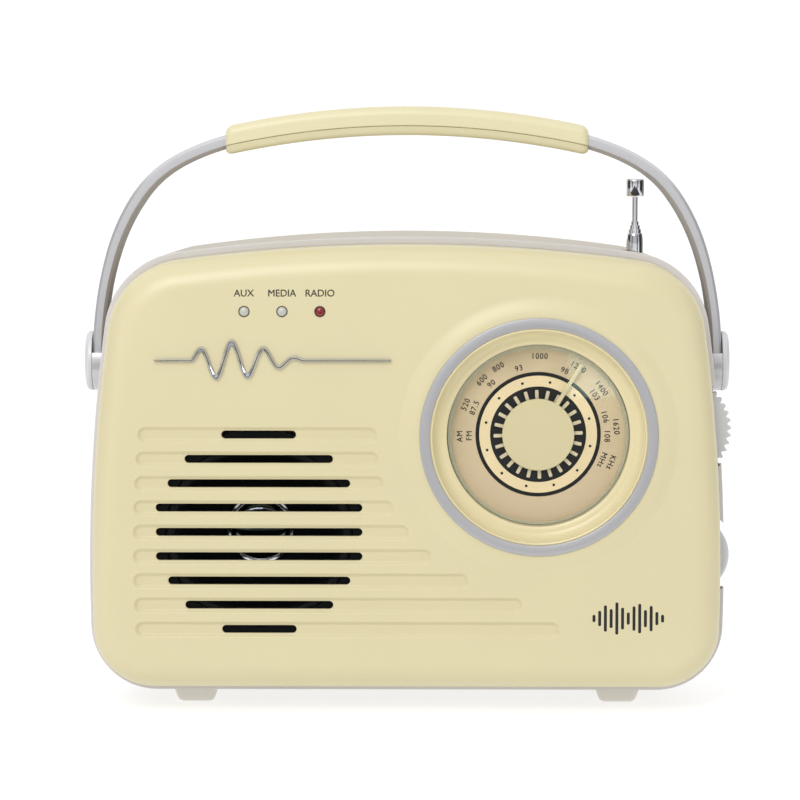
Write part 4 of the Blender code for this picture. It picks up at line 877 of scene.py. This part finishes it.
def make_lamps():
    for name, x, material in zip(("aux", "media", "radio"), LAMP_XS, (LAMP_GREY, LAMP_GREY, LAMP_RED)):
        steps = 8
        dome = [
            (LAMP_RADIUS * math.cos(a), FACE_Y + 0.55 - 1.5 * math.sin(a))
            for a in (math.radians(90 * i / steps) for i in range(steps))
        ]
        profile = [
            (0, FACE_Y + 6.5), (LAMP_RADIUS, FACE_Y + 6.5), (LAMP_RADIUS, FACE_Y + 5.0),
            (LAMP_RADIUS + 0.9, FACE_Y + 5.0),
            (LAMP_RADIUS + 0.9, FACE_Y + WALL + GAP), (LAMP_RADIUS, FACE_Y + WALL + GAP), *dome,
            (0, FACE_Y - 0.95),
        ]
        piece(f"lamp_{name}", turned(profile, "Y", (x, 0, LAMP_Z), 40), material, "cabinet", [f"led_{name}"])
        # a dark ring that fills the clearance round the lamp: painted shade of the gap
        rim = [
            (LAMP_RADIUS + 0.28, FACE_Y - 0.08), (LAMP_RADIUS + 0.28, FACE_Y + 1.5),
            (LAMP_RADIUS + 0.02, FACE_Y + 1.5), (LAMP_RADIUS + 0.02, FACE_Y - 0.08)
        ]
        piece(
            f"lamp_rim_{name}", turned(rim, "Y", (x, 0, LAMP_Z), 40, True), LAMP_GAP_SHADE, "cabinet",
        )


def make_labels():
    words = [
        place_letters(text, 3.0, x, FACE_Y - 0.012, LABEL_Z, 0, 0.98)
        for text, x in zip(("AUX", "MEDIA", "RADIO"), LAMP_XS)
    ]
    piece("lamp_labels", join(words), LABEL_PRINT, "cabinet")
    bars = []
    heights = (3.2, 6.8, 11.6, 8.4, 14.2, 9.6, 5.4, 10.8, 13.0, 7.6, 11.2, 5.8, 3.4)
    for i, height in enumerate(heights):
        bars.append(
            prism(rounded_box(82.3 + 2.5 * i, 43.2, 1.3, height, 0.6, 4), FACE_Y - 0.04, FACE_Y + 0.03)
        )
    piece("printed_soundwave", join(bars), PRINT, "cabinet")


def emblem_height(x):
    start, end = EMBLEM_WAVE
    share = (x - start) / (end - start)
    if not 0 < share < 1:
        return EMBLEM_Z
    swell = math.sin(math.pi * share) ** 0.6 * (1.15 - share)
    return EMBLEM_Z + WAVE_HEIGHT * swell * math.sin(2 * math.pi * WAVE_COUNT * share)


def make_emblem():
    """A plated bar with a ridge down its middle: straight at each end, with a fading wave between."""
    start, end = EMBLEM_WAVE
    left, right = EMBLEM_ENDS
    xs = [left, left + 1.5, left + 6, start - 0.5]
    xs += [start + (end - start) * i / 150 for i in range(151)]
    xs += [end + 0.5, end + 12, right - 6, right - 1.0, right]
    path = [Vector((x, emblem_height(x))) for x in xs]
    back, front = FACE_Y - 0.02, FACE_Y - 1.75
    rings = []
    for i, point in enumerate(path):
        along = (path[min(i + 1, len(path) - 1)] - path[max(i - 1, 0)]).normalized()
        normal = Vector((-along.y, along.x))
        taper = min(1.0, 0.35 + (point.x - left) / 9.0, 0.6 + (right - point.x) / 5.0)
        half = (1.08 if start < point.x < end else 0.88) * taper
        section = (
            (-half, back), (-half, back - 0.5), (-0.18 * half, front), (0.18 * half, front),
            (half, back - 0.5), (half, back)
        )
        rings.append([(point.x + normal.x * n, y, point.y + normal.y * n) for n, y in section])
    piece(
        "front_emblem_bar", loft(rings), EMBLEM_CHROME, "cabinet", ["front_emblem"], 20
    )


# ---------------------------------------------------------------- loudspeaker


def make_speaker():
    place = (SPEAKER_X, 0, SPEAKER_Z)
    rim = FACE_Y + WALL + GAP
    steps = 8
    roll = [
        (38.6 + 2.1 * math.cos(a), rim + 1.15 - 1.0 * math.sin(a))
        for a in (math.pi * i / steps for i in range(steps + 1))
    ]
    surround = [*roll, (36.5, rim + 1.5), (38.6, rim + 1.25), (40.7, rim + 1.5)]
    cone = [(36.4, rim + 1.2), (36.4, rim + 1.7)]
    cone += [(36.4 - 2.6 * i, rim + 2.3 + 1.92 * i + 0.25 * (i % 2)) for i in range(1, 9)]
    cone += [(13.0, rim + 19.2), (13.0, rim + 18.4)]
    cone += [(36.4 - 2.6 * i, rim + 1.5 + 1.92 * i + 0.25 * (i % 2)) for i in range(8, 0, -1)]
    piece(
        "speaker_surround_roll", turned(surround, "Y", place, 96, True), SURROUND, "cabinet",
    )
    piece(
        "speaker_cone_paper", turned(cone, "Y", place, 96, True), CONE, "cabinet", ["speaker_cone"],
        60
    )
    back, radius, rise, steps = rim + 16.4, 15.0, 6.0, 12
    dome = [
        (0, back), (radius, back), (radius, back - 0.6), (radius - 0.8, back - 0.7),
        (radius - 1.3, back - 0.3)
    ]
    for i in range(steps):
        a = math.radians(90 * i / steps)
        dome.append(((radius - 1.6) * math.cos(a), back - 0.4 - rise * math.sin(a)))
    dome.append((0, back - 0.4 - rise))
    cap = piece(
        "speaker_dust_cap_dome", turned(dome, "Y", place, 72), CHROME, "cabinet", ["speaker_dust_cap"],
        45
    )
    # the middle of the dome gets the darker chrome, painted shade; its rim stays bright
    cap.data.materials.append(DOME_CHROME_SHADED)
    for face in cap.data.polygons:
        from_axis = math.hypot(face.center.x / MM - SPEAKER_X, face.center.z / MM - SPEAKER_Z)
        face.material_index = int(from_axis < radius - 2.8)


# ---------------------------------------------------------------- handle


def normals_of(path):
    """A unit vector to the left of the way along, at each point of a path."""
    found = []
    for i, point in enumerate(path):
        along = (path[min(i + 1, len(path) - 1)] - path[max(i - 1, 0)]).normalized()
        found.append(Vector((-along.y, along.x)))
    return found


def relaxed(path, passes=70):
    for _ in range(passes):
        path = [path[0]] + [(a + 2 * b + c) / 4 for a, b, c in zip(path, path[1:], path[2:])] + [path[-1]]
    return path


def strap_path():
    """The strap's outer edge. Smoothing draws the arch in, so what it takes off is smoothed and put back."""
    right = smooth_path(STRAP_EDGE, 9)
    drawn = right + [Vector((-p.x, p.y)) for p in reversed(right[:-1])]
    path = relaxed(drawn)
    lost = relaxed([a - b for a, b in zip(drawn, path)])
    return [a + b for a, b in zip(path, lost)]


def strap_skin(section):
    """The strap's loft: section holds (depth under the outer edge, y). It is thinner beside the cabinet."""
    path = strap_path()
    rings = []
    for point, normal in zip(path, normals_of(path)):
        share = min(1.0, max(0.0, (point.y - STRAP_THIN_Z) / (STRAP_FULL_Z - STRAP_THIN_Z)))
        thin = (STRAP_THIN + (STRAP_THICKNESS - STRAP_THIN) * share) / STRAP_THICKNESS
        rings.append(
            [(point.x + normal.x * d * thin, y, point.y + normal.y * d * thin) for d, y in section]
        )
    return loft(rings)


def make_strap():
    low, thick = PIVOT_Y - STRAP_DEPTH / 2, STRAP_THICKNESS
    front = [
        (0.0, low + 1.6), (0.1, low + 1.35), (1.15, low + 0.15), (1.4, low), (4.3, low), (4.6, low + 0.12),
        (thick - 0.15, low + 1.6), (thick, low + 1.9)
    ]
    section = front + [(d, 2 * PIVOT_Y - y) for d, y in reversed(front)]
    strap = piece("handle_strap_moulding", strap_skin(section), SILVER)
    work = []
    for side in (-1, 1):
        ends = sorted((side * HUB_INNER_X, side * HUB_SPLIT_X))
        radius = HUB_RADIUS
        profile = [
            (0, ends[0]), (radius - 0.25, ends[0]), (radius, ends[0] + 0.25), (radius, ends[1] - 0.25),
            (radius - 0.25, ends[1]), (0, ends[1])
        ]
        barrel = piece("barrel", turned(profile, "X", (0, PIVOT_Y, PIVOT_Z), 96), SILVER)
        above = block(
            (ends[0] - 5, PIVOT_Y - 20, HUB_SHELF_Z), (ends[1] + 5, PIVOT_Y + 20, HUB_SHELF_Z + 30)
        )
        carve(barrel, [("DIFFERENCE", above)])
        bm = bmesh.new()
        bm.from_mesh(barrel.data)
        bmesh.ops.scale(bm, vec=(1 / MM, 1 / MM, 1 / MM), verts=bm.verts)
        bpy.data.objects.remove(barrel)
        work.append(("UNION", bm))
        work.append(
            ("DIFFERENCE", rod(PIN_RADIUS + GAP, ends[0] - 5, ends[1] + 5, "X", (0, PIVOT_Y, PIVOT_Z), 40))
        )
    carve(strap, work)
    # faces that turn towards the inside of the arch get the darker colour, painted shade
    strap.data.materials.append(STRAP_INSIDE_SHADE)
    for face in strap.data.polygons:
        inwards = (Vector((0, 0, 190 * MM)) - Vector((face.center.x, 0, face.center.z))).normalized()
        if face.center.z > (HUB_SHELF_Z + 0.3) * MM and face.normal.dot(inwards) > 0.45:
            face.material_index = 1
    settle(strap, "handle", ["handle_strap"], 26, steady=True)


def make_hub_caps():
    for name, side in (("left", -1), ("right", 1)):
        split, outer = side * (HUB_SPLIT_X + 0.05), side * HUB_OUTER_X
        profile = [(0, split), (HUB_RADIUS - 0.15, split), (HUB_RADIUS, split + side * 0.15)]
        for inset, down in quarter(2.2, 9)[::-1]:
            profile.append((HUB_RADIUS - inset, outer - side * (down + 0.1)))
        profile += [(HUB_RADIUS - 4.2, outer - side * 0.05), (HUB_RADIUS - 4.5, outer - side * 0.3)]
        profile += [(HUB_RADIUS - 4.8, outer - side * 0.05), (HUB_RADIUS - 7.0, outer), (0, outer)]
        piece(f"hub_cap_{name}_disc", turned(profile, "X", (0, PIVOT_Y, PIVOT_Z), 96), HUB_SILVER,
              "handle", [f"hub_cap_{name}"], 30)


def band(x, top, top_end, base, base_end, half):
    share = (x / half) ** 2
    return base - (base - base_end) * share, top - (top - top_end) * share


def grip_skin(low_pair, high_pair, depth, radii):
    """A lengthwise loft with rounded ends. radii are those of the upper and the lower long edges."""
    half = GRIP_HALF
    stations = [half * math.sin(math.radians(90 * i / 26)) for i in range(27)]
    stations = [s for s in stations if s < half - 3] + [
        half - 2.8, half - 2.1, half - 1.4, half - 0.8, half - 0.4, half - 0.15, half - 0.03, half
    ]
    stations = sorted(set(round(s, 4) for s in stations))
    xs = [-s for s in reversed(stations[1:])] + stations
    rings = []
    for x in xs:
        base, top = band(x, high_pair[0], high_pair[1], low_pair[0], low_pair[1], half)
        into = max(0.0, abs(x) - (half - END_ROUND)) / END_ROUND
        inset = 0.94 * END_ROUND * (1 - math.sqrt(max(0.0, 1 - into**2)))
        low_y, high_y = PIVOT_Y - depth / 2 + inset, PIVOT_Y + depth / 2 - inset
        base, top = base + inset * (radii[1] > 1), top - inset * (radii[0] > 1)
        upper, lower = [min(radius, (top - base) / 2 - 0.05) for radius in radii]
        ring = []
        for cy, cz, r, start in (
            (high_y - lower, base + lower, lower, -90), (high_y - upper, top - upper, upper, 0),
            (low_y + upper, top - upper, upper, 90), (low_y + lower, base + lower, lower, 180),
        ):
            ring += [(x, y, z) for y, z in arc(cy, cz, r, start, start + 90, 6)]
        rings.append(ring)
    return loft(rings)


def make_grip():
    low, high = PIVOT_Y - STRAP_DEPTH / 2 - GAP, PIVOT_Y + STRAP_DEPTH / 2 + GAP
    channel = [(-GAP, low), (STRAP_THICKNESS + GAP, low), (STRAP_THICKNESS + GAP, high), (-GAP, high)]
    split = (GRIP_BASE_Z + GRIP_SPLIT, GRIP_BASE_END_Z + GRIP_SPLIT)
    upper_low = (split[0] + 0.08, split[1] + 0.08)
    grip = piece(
        "handle_grip_moulding", grip_skin(upper_low, (GRIP_TOP_Z, GRIP_END_Z), GRIP_DEPTH, (3.9, 0.5)),
        CREAM_GRIP
    )
    settle(
        carve(grip, [("DIFFERENCE", strap_skin(channel))]), "handle", ["handle_grip"], 30,
        steady=True
    )
    lower = grip_skin((GRIP_BASE_Z, GRIP_BASE_END_Z), split, GRIP_DEPTH - 1.0, (0.5, 2.0))
    liner = piece("grip_liner_moulding", lower, CREAM_LINER_SHADED)
    settle(
        carve(liner, [("DIFFERENCE", strap_skin(channel))]), "handle", ["grip_liner"], 30,
        steady=True
    )


# ---------------------------------------------------------------- thumbwheels and antenna


def toothed(inset):
    outline = []
    corners = (
        (0.02, -0.25), (0.08, 0.0), (0.16, 0.0), (0.24, 0.0), (0.30, -0.25), (0.46, -1.1), (0.62, -1.6),
        (0.78, -1.6), (0.92, -0.9)
    )
    for tooth in range(TUNING_TEETH):
        for share, rise in corners:
            turn = 2 * math.pi * (tooth + share) / TUNING_TEETH
            radius = TUNING_RADIUS + rise - inset
            outline.append((TUNING_X + radius * math.cos(turn), TUNING_Z + radius * math.sin(turn)))
    return outline


def make_thumbwheels():
    rings = [
        at_y(toothed(inset), WHEEL_FRONT_Y + down) for inset, down in ((0.8, 0.0), (0.25, 0.15), (0.0, 0.6))
    ]
    rings += [
        at_y(toothed(inset), WHEEL_BACK_Y - down) for inset, down in ((0.0, 0.6), (0.25, 0.15), (0.8, 0.0))
    ]
    tuning = piece("tuning_wheel_knurled", loft(rings), WHEEL)
    place = (TUNING_X, 0, TUNING_Z)
    dish = [
        (0, WHEEL_BACK_Y - 1.2), (17.5, WHEEL_BACK_Y - 1.2), (18.4, WHEEL_BACK_Y + 2), (0, WHEEL_BACK_Y + 2)
    ]
    bore = rod(SHAFT_HOLE, WHEEL_FRONT_Y - 5, WHEEL_BACK_Y + 5, "Y", place)
    work = [("DIFFERENCE", turned(dish, "Y", place, 64)), ("DIFFERENCE", bore)]
    settle(carve(tuning, work), "tuning", ["tuning_wheel"], 35, steady=True)

    profile = [(0, -6.5), (SHAFT_RADIUS, -6.5), (SHAFT_RADIUS, WHEEL_BACK_Y)]
    profile += [(VOLUME_RADIUS - inset, WHEEL_BACK_Y - down) for inset, down in quarter(1.6, 6)]
    profile += [(VOLUME_RADIUS - inset, WHEEL_FRONT_Y + down) for inset, down in quarter(1.6, 6)[::-1]]
    profile += [(0, WHEEL_FRONT_Y)]
    piece(
        "volume_wheel_disc", turned(profile, "Y", (VOLUME_X, 0, VOLUME_Z), 96), WHEEL, "volume",
        ["volume_wheel"], 40
    )


def make_antenna():
    place = (ANTENNA_X, ANTENNA_Y, 0)
    bodies = ("antenna_outer", "antenna_second", "antenna_third", "antenna_fourth")
    for number, ((outer, bore, low, high), body) in enumerate(zip(ANTENNA_TUBES, bodies), 1):
        inner = bore + 0.02
        if number == 1:
            steps, reach, drop = 7, outer - bore - 0.12, 5.2
            nose = [
                (bore + 0.12 + reach * math.sin(a), high - drop * (1 - math.cos(a)))
                for a in (math.radians(90 * i / steps) for i in range(steps + 1))
            ]
        else:
            nose = [
                (inner + 0.1, high), (outer - 0.12, high - 0.02), (outer, high - 0.16), (outer, high - 0.3)
            ]
        profile = [(inner, low), (inner, high - 0.06), *nose, (outer, low + 0.2), (outer - 0.15, low)]
        piece(
            f"antenna_tube_{number}_drawn", turned(profile, "Z", place, 64, True), CHROME, body,
            [f"antenna_tube_{number}"], 40
        )
    inner_rod = rod(ROD_RADIUS, ROD_BASE_Z, TIP_BASE_Z - GAP, "Z", place, 48)
    piece("antenna_rod_drawn", inner_rod, CHROME, "antenna_top", ["antenna_rod"])
    tip = [
        (0, TIP_BASE_Z), (TIP_RADIUS - 0.6, TIP_BASE_Z), (TIP_RADIUS - 0.2, TIP_BASE_Z + 0.15),
        (TIP_RADIUS, TIP_BASE_Z + 0.55)
    ]
    tip += [(TIP_RADIUS - inset, TIP_TOP_Z - down) for inset, down in quarter(0.9, 6)[::-1]]
    tip += [(0, TIP_TOP_Z)]
    piece(
        "antenna_tip_button", turned(tip, "Z", place, 64), CHROME, "antenna_top", ["antenna_tip"],
        40
    )
    guide = [(3.9, 186.0), (3.9, 199.2), (4.2, 199.5), (4.9, 199.5), (5.2, 199.2), (5.2, 186.0)]
    piece(
        "antenna_guide_bush", turned(guide, "Z", place, 48, True), BLACK, "cabinet", ["antenna_guide"],
    )


# ---------------------------------------------------------------- the back


def make_door():
    height, middle = DOOR_TOP_Z - DOOR_BASE_Z, (DOOR_BASE_Z + DOOR_TOP_Z) / 2
    front = BACK_Y - DOOR_THICKNESS
    outline = rounded_box(0, middle, 2 * DOOR_HALF, height, 0.9)
    rings = [
        at_y(outline, front), at_y(outline, BACK_Y - 0.4), at_y(grown(outline, -0.12), BACK_Y - 0.12),
        at_y(grown(outline, -0.4), BACK_Y)
    ]
    door = piece("battery_door_cover", loft(rings), HOUSING)
    ribs = [block((-9, BACK_Y - 1, DOOR_TOP_Z - 7), (9, BACK_Y + 0.9, DOOR_TOP_Z - 5), 0.4)]
    ribs += [
        block(
            (-7, BACK_Y - 1, DOOR_TOP_Z - 11.5 - 2.4 * i), (7, BACK_Y + 0.5, DOOR_TOP_Z - 10.6 - 2.4 * i),
            0.2
        )
        for i in range(3)
    ]
    dent = prism(rounded_box(0, middle - 8, 84, 26, 3), BACK_Y - 0.3, BACK_Y + 1)
    work = [("DIFFERENCE", dent), ("UNION", join(ribs))]
    settle(carve(door, work), "battery_door", ["battery_door"], 30, steady=True)


def shell_of(name, outline, mouth, depth, material, node):
    """A socket: a body with a chamfered mouth."""
    low, high = SOCKET_FRONT_Y - (5 if node == "mains_inlet" else 0), SOCKET_BACK_Y
    rings = [at_y(outline, low), at_y(outline, high - 0.25), at_y(grown(outline, -0.25), high)]
    body = piece(name, loft(rings), material)
    work = [("DIFFERENCE", flared(mouth, high, high - depth, 0.3))]
    return settle(carve(body, work), "cabinet", [node], 30, steady=True)


def make_sockets():
    high = SOCKET_BACK_Y
    mouth = pill(INLET_X - 9.8, INLET_X + 9.8, INLET_Z, 8.4)
    shell_of(
        "mains_inlet_body", rounded_box(INLET_X, INLET_Z, INLET_WIDTH, INLET_HEIGHT, 1), mouth, 12, BLACK,
        "mains_inlet"
    )
    for name, side in (("left", -1), ("right", 1)):
        pin = [(0, high - 12.5), (1.2, high - 12.5), (1.2, high - 2.3), (0.9, high - 1.8), (0, high - 1.5)]
        piece(
            f"inlet_contact_{name}", turned(pin, "Y", (INLET_X + side * 4.3, 0, INLET_Z), 24), GOLD,
            "cabinet"
        )

    tongue = block((USB_X - 5.6, high - 11, USB_Z + 0.1), (USB_X + 5.6, high - 1.2, USB_Z + 1.9), 0.15)
    piece("usb_tongue", tongue, BLACK, "cabinet")
    outline = rounded_box(USB_X, USB_Z, USB_WIDTH, USB_HEIGHT, 0.6)
    mouth = rounded_box(USB_X, USB_Z, 12.5, 5.1, 0.3)
    shell_of("usb_socket_shell", outline, mouth, 10.4, STEEL, "usb_socket")
    blades = [
        block((USB_X + x - 0.45, high - 9, USB_Z - 0.05), (USB_X + x + 0.45, high - 2.0, USB_Z + 0.2))
        for x in (-3.5, -1.2, 1.2, 3.5)
    ]
    piece("usb_contacts", join(blades), GOLD, "cabinet")

    outline = rounded_box(CARD_X, CARD_Z, CARD_WIDTH, CARD_HEIGHT, 0.6)
    mouth = rounded_box(CARD_X, CARD_Z, 24.4, 2.2, 0.3)
    shell_of("card_socket_body", outline, mouth, 11.5, BLACK, "card_socket")
    teeth = [
        block(
            (CARD_X - 9 + 2.5 * i - 0.5, high - 11, CARD_Z - 1.25),
            (CARD_X - 9 + 2.5 * i + 0.5, high - 4, CARD_Z - 0.85)
        )
        for i in range(8)
    ]
    piece("card_contacts", join(teeth), GOLD, "cabinet")

    bore = 1.8
    jack = [(0, high - 11), (bore, high - 11), (bore, high - 0.3), (bore + 0.3, high)]
    jack += [
        (JACK_RADIUS - 0.3, high), (JACK_RADIUS, high - 0.3), (JACK_RADIUS, SOCKET_FRONT_Y),
        (0, SOCKET_FRONT_Y)
    ]
    piece(
        "aux_jack_barrel", turned(jack, "Y", (JACK_X, 0, JACK_Z), 48), BLACK, "cabinet", ["aux_jack"],
    )
    sleeve = [
        (bore + 0.35, high - 0.02), (bore + 0.35, high + 0.12), (bore + 1.1, high + 0.12),
        (bore + 1.1, high - 0.02)
    ]
    piece(
        "aux_jack_sleeve", turned(sleeve, "Y", (JACK_X, 0, JACK_Z), 48, True), GOLD, "cabinet"
    )


def make_switches():
    inside = BACK_Y - WALL
    for name, z in (("function_switch", FUNCTION_Z), ("band_switch", BAND_Z)):
        cap = block((SWITCH_X - 4.5, BACK_Y + GAP, z - 2.6), (SWITCH_X + 4.5, BACK_Y + 2.0, z + 2.6), 0.35)
        obj = piece(f"{name}_cap", cap, BLACK)
        stem = block((SWITCH_X - 2.3, inside - 1.5, z - 1.4), (SWITCH_X + 2.3, BACK_Y + 1.0, z + 1.4))
        plate = block((SWITCH_X - 5, inside - 3.0, z - 3.2), (SWITCH_X + 5, inside - GAP, z + 3.2), 0.2)
        grooves = [
            block(
                (SWITCH_X + 1.4 * i - 0.3, BACK_Y + 1.55, z - 4),
                (SWITCH_X + 1.4 * i + 0.3, BACK_Y + 3, z + 4)
            )
            for i in (-2, -1, 0, 1, 2)
        ]
        work = [("UNION", stem), ("UNION", plate), ("DIFFERENCE", join(grooves))]
        settle(carve(obj, work), name, [name], 30, steady=True)


def triangle(x, z, size, direction):
    return [
        (x - direction * size / 2, z - size * 0.6), (x + direction * size / 2, z),
        (x - direction * size / 2, z + size * 0.6)
    ][::direction]


def make_buttons():
    inside = BACK_Y - WALL
    top = BACK_Y + 1.7
    for name, x, way in zip(("previous", "play", "next"), BUTTON_XS, (1, -1, -1)):
        profile = [
            (0, inside - 2.5), (BUTTON_RADIUS + 1.0, inside - 2.5), (BUTTON_RADIUS + 1.0, inside - GAP),
            (BUTTON_RADIUS, inside - GAP)
        ]
        profile += [(BUTTON_RADIUS - inset, top - down) for inset, down in quarter(0.7, 5)[::-1]]
        profile += [(1.6, top - 0.12), (0, top - 0.16)]
        piece(
            f"button_{name}_cap", turned(profile, "Y", (x, 0, BUTTON_Z), 48), BLACK, f"button_{name}",
            [f"button_{name}"], 40
        )
        y = (top - 0.2, top + 0.02)
        marks = [prism(triangle(x + (0.55 if name != "play" else 0) * way, BUTTON_Z, 1.9, way), *y)]
        if name != "play":
            marks.append(prism(rounded_box(x + 1.7 * way, BUTTON_Z, 0.45, 2.2, 0.1, 2), *y))
        piece(f"button_{name}_icon", join(marks), WHITE_PRINT, f"button_{name}")


def make_screws():
    for number, (x, z) in enumerate(POSTS, 1):
        head = BACK_Y + 0.1
        profile = [
            (0, BACK_Y - 16.0), (SCREW_SHANK, BACK_Y - 15.0), (SCREW_SHANK, BACK_Y - 1.0),
            (SCREW_HEAD, BACK_Y - 1.0), (SCREW_HEAD, BACK_Y - 0.55)
        ]
        profile += [
            (SCREW_HEAD * math.cos(a), BACK_Y - 0.55 + 0.65 * math.sin(a))
            for a in (math.radians(15 * i) for i in range(1, 6))
        ]
        profile += [(0, head)]
        screw = piece(f"case_screw_{number}_head", turned(profile, "Y", (x, 0, z), 48), STEEL)
        cross = [
            block((x - 1.7, head - 1.0, z - 0.35), (x + 1.7, head + 1, z + 0.35)),
            block((x - 0.35, head - 1.0, z - 1.7), (x + 0.35, head + 1, z + 1.7))
        ]
        work = [("DIFFERENCE", tool) for tool in cross]
        settle(carve(screw, work), "cabinet", [f"case_screw_{number}"], 30)


def make_back_prints():
    """Generic words by the sockets, on the recessed panel."""
    y = BACK_Y - PANEL_DEPTH + 0.01
    words = []
    for text, x, z in (
        ("CARD", CARD_X, 106.3), ("5 V", USB_X, 105.3), ("AUX IN", JACK_X, 121.6),
        ("FUNCTION", SWITCH_X - 2, 152.0), ("AM    FM", SWITCH_X + 3, 134.0)
    ):
        bm = letters(text, 1.7)
        bmesh.ops.rotate(bm, matrix=Matrix.Rotation(math.radians(180), 3, "Z"), verts=bm.verts)
        bmesh.ops.translate(bm, vec=(x, y, z), verts=bm.verts)
        words.append(bm)
    piece("socket_labels", join(words), LABEL_PRINT, "cabinet")


def dress(names, material):
    """Gives the material to CAD nodes that are shown as they are."""
    for name in names:
        for slot in bpy.data.objects[name].material_slots:
            slot.material = material


for make in (
    make_front_shell, make_rear_housing, make_feet, make_dial, make_scale, make_pointer, make_lamps,
    make_labels, make_emblem, make_speaker, make_strap, make_hub_caps, make_grip, make_thumbwheels,
    make_antenna, make_door, make_sockets, make_switches, make_buttons, make_screws, make_back_prints,
):
    make()
dress(["tuning_shaft", "pivot_pin_left", "pivot_pin_right"], STEEL)
dress(["speaker_frame"], BLACK_STEEL)
dress(["speaker_magnet"], FERRITE)
dress(["battery_tray", "dial_cord", "pointer_pulley"], BLACK)
dress(["socket_board", "main_board"], BOARD)
dress(["ferrite_rod"], FERRITE)
dress(["ferrite_coil"], COPPER)
dress(["power_transformer", "tuning_capacitor", "volume_potentiometer"], STEEL)

# ---------------------------------------------------------------- stage


FLOOR_COLOUR, FLOOR_GLOW, WINDOW_GLOW = (0.36, 0.36, 0.36), 0.70, 3.4
WORLD_IN_FRONT, WORLD_BEHIND = 0.62, 1.08
KEY_PLACE, KEY_POWER, OVERHEAD_PLACE, OVERHEAD_POWER = (-0.50, -1.5, 1.35), 18, (0.0, -0.3, 1.5), 1.2
CAMERA_PLACE, CAMERA_TILT, CAMERA_TURN, CAMERA_LENS = (0.0137, -1.5185, 0.278), 84.6, 0.636, 152.5


def stage_material(name, colour, glow=0.0):
    material = bpy.data.materials.new(name)
    material.use_nodes = True
    feed(material.node_tree, material.node_tree.nodes["Principled BSDF"], {
        "Base Color": (*colour, 1), "Roughness": 0.9, "Emission Color": (1, 1, 1, 1),
        "Emission Strength": glow,
    })
    return material


def plane(name, centre, size, facing, material, only_gloss=False):
    bpy.ops.mesh.primitive_plane_add(size=1, location=centre)
    obj = bpy.context.object
    obj.name = name
    obj.scale = (*size, 1)
    obj.rotation_euler = (Vector(facing)).to_track_quat("Z", "Y").to_euler()
    obj.data.materials.append(material)
    if only_gloss:
        obj.visible_camera = obj.visible_diffuse = obj.visible_shadow = obj.visible_transmission = False
    return obj


def light(name, place, target, size, power):
    data = bpy.data.lights.new(name, "AREA")
    data.shape, data.size, data.size_y, data.energy = "RECTANGLE", *size, power
    obj = bpy.data.objects.new(name, data)
    bpy.context.scene.collection.objects.link(obj)
    obj.location = place
    obj.rotation_euler = (Vector(target) - Vector(place)).to_track_quat("-Z", "Y").to_euler()
    return obj


def make_world():
    """Brighter behind the radio than in front: the backdrop is white, and the front keeps its shading."""
    world = bpy.data.worlds.new("studio")
    bpy.context.scene.world = world
    world.use_nodes = True
    tree = world.node_tree
    place = add(tree, "TexCoord", {}).outputs["Generated"]
    across = add(tree, "SeparateXYZ", {"Vector": place}).outputs["Y"]
    reach = {
        "From Min": -0.6, "From Max": 0.6, "To Min": WORLD_IN_FRONT, "To Max": WORLD_BEHIND, "Value": across
    }
    strength = add(tree, "MapRange", reach).outputs["Result"]
    feed(tree, tree.nodes["Background"], {"Color": (1, 1, 1, 1), "Strength": strength})


make_world()
plane("floor", (0, 0, 0), (30, 30), (0, 0, 1), stage_material("pale_floor", FLOOR_COLOUR, FLOOR_GLOW))
dark = stage_material("dark_card", (0.02, 0.02, 0.02))
for side, way in (("left", -1), ("right", 1)):
    plane(f"card_{side}", (way * 0.9, 0.05, 0.4), (1.0, 0.8), (-way, 0, 0), dark, True)
    plane(f"card_front_{side}", (way * 0.80, -1.1, 0.35), (0.30, 0.9), (way * -0.6, 0.8, 0), dark, True)
plane("card_floor", (0.05, -1.5, 0.003), (1.1, 2.5), (0, 0, 1), dark, True)
plane(
    "window_card", (0.168, -1.44, 0.052), (0.085, 0.085), (0, 1, 0),
    stage_material("window", (0, 0, 0), WINDOW_GLOW), True
)
light("key", KEY_PLACE, (0, 0, 0.12), (1.0, 1.0), KEY_POWER)
light("overhead", OVERHEAD_PLACE, (0, 0, 0.2), (0.9, 0.9), OVERHEAD_POWER)

camera_data = bpy.data.cameras.new("camera")
camera_data.lens = CAMERA_LENS
camera_data.sensor_width = 36
camera = bpy.data.objects.new("camera", camera_data)
bpy.context.scene.collection.objects.link(camera)
camera.location = CAMERA_PLACE
camera.rotation_euler = (math.radians(CAMERA_TILT), 0, math.radians(CAMERA_TURN))
bpy.context.scene.camera = camera
bpy.context.scene.view_settings.view_transform = "Standard"
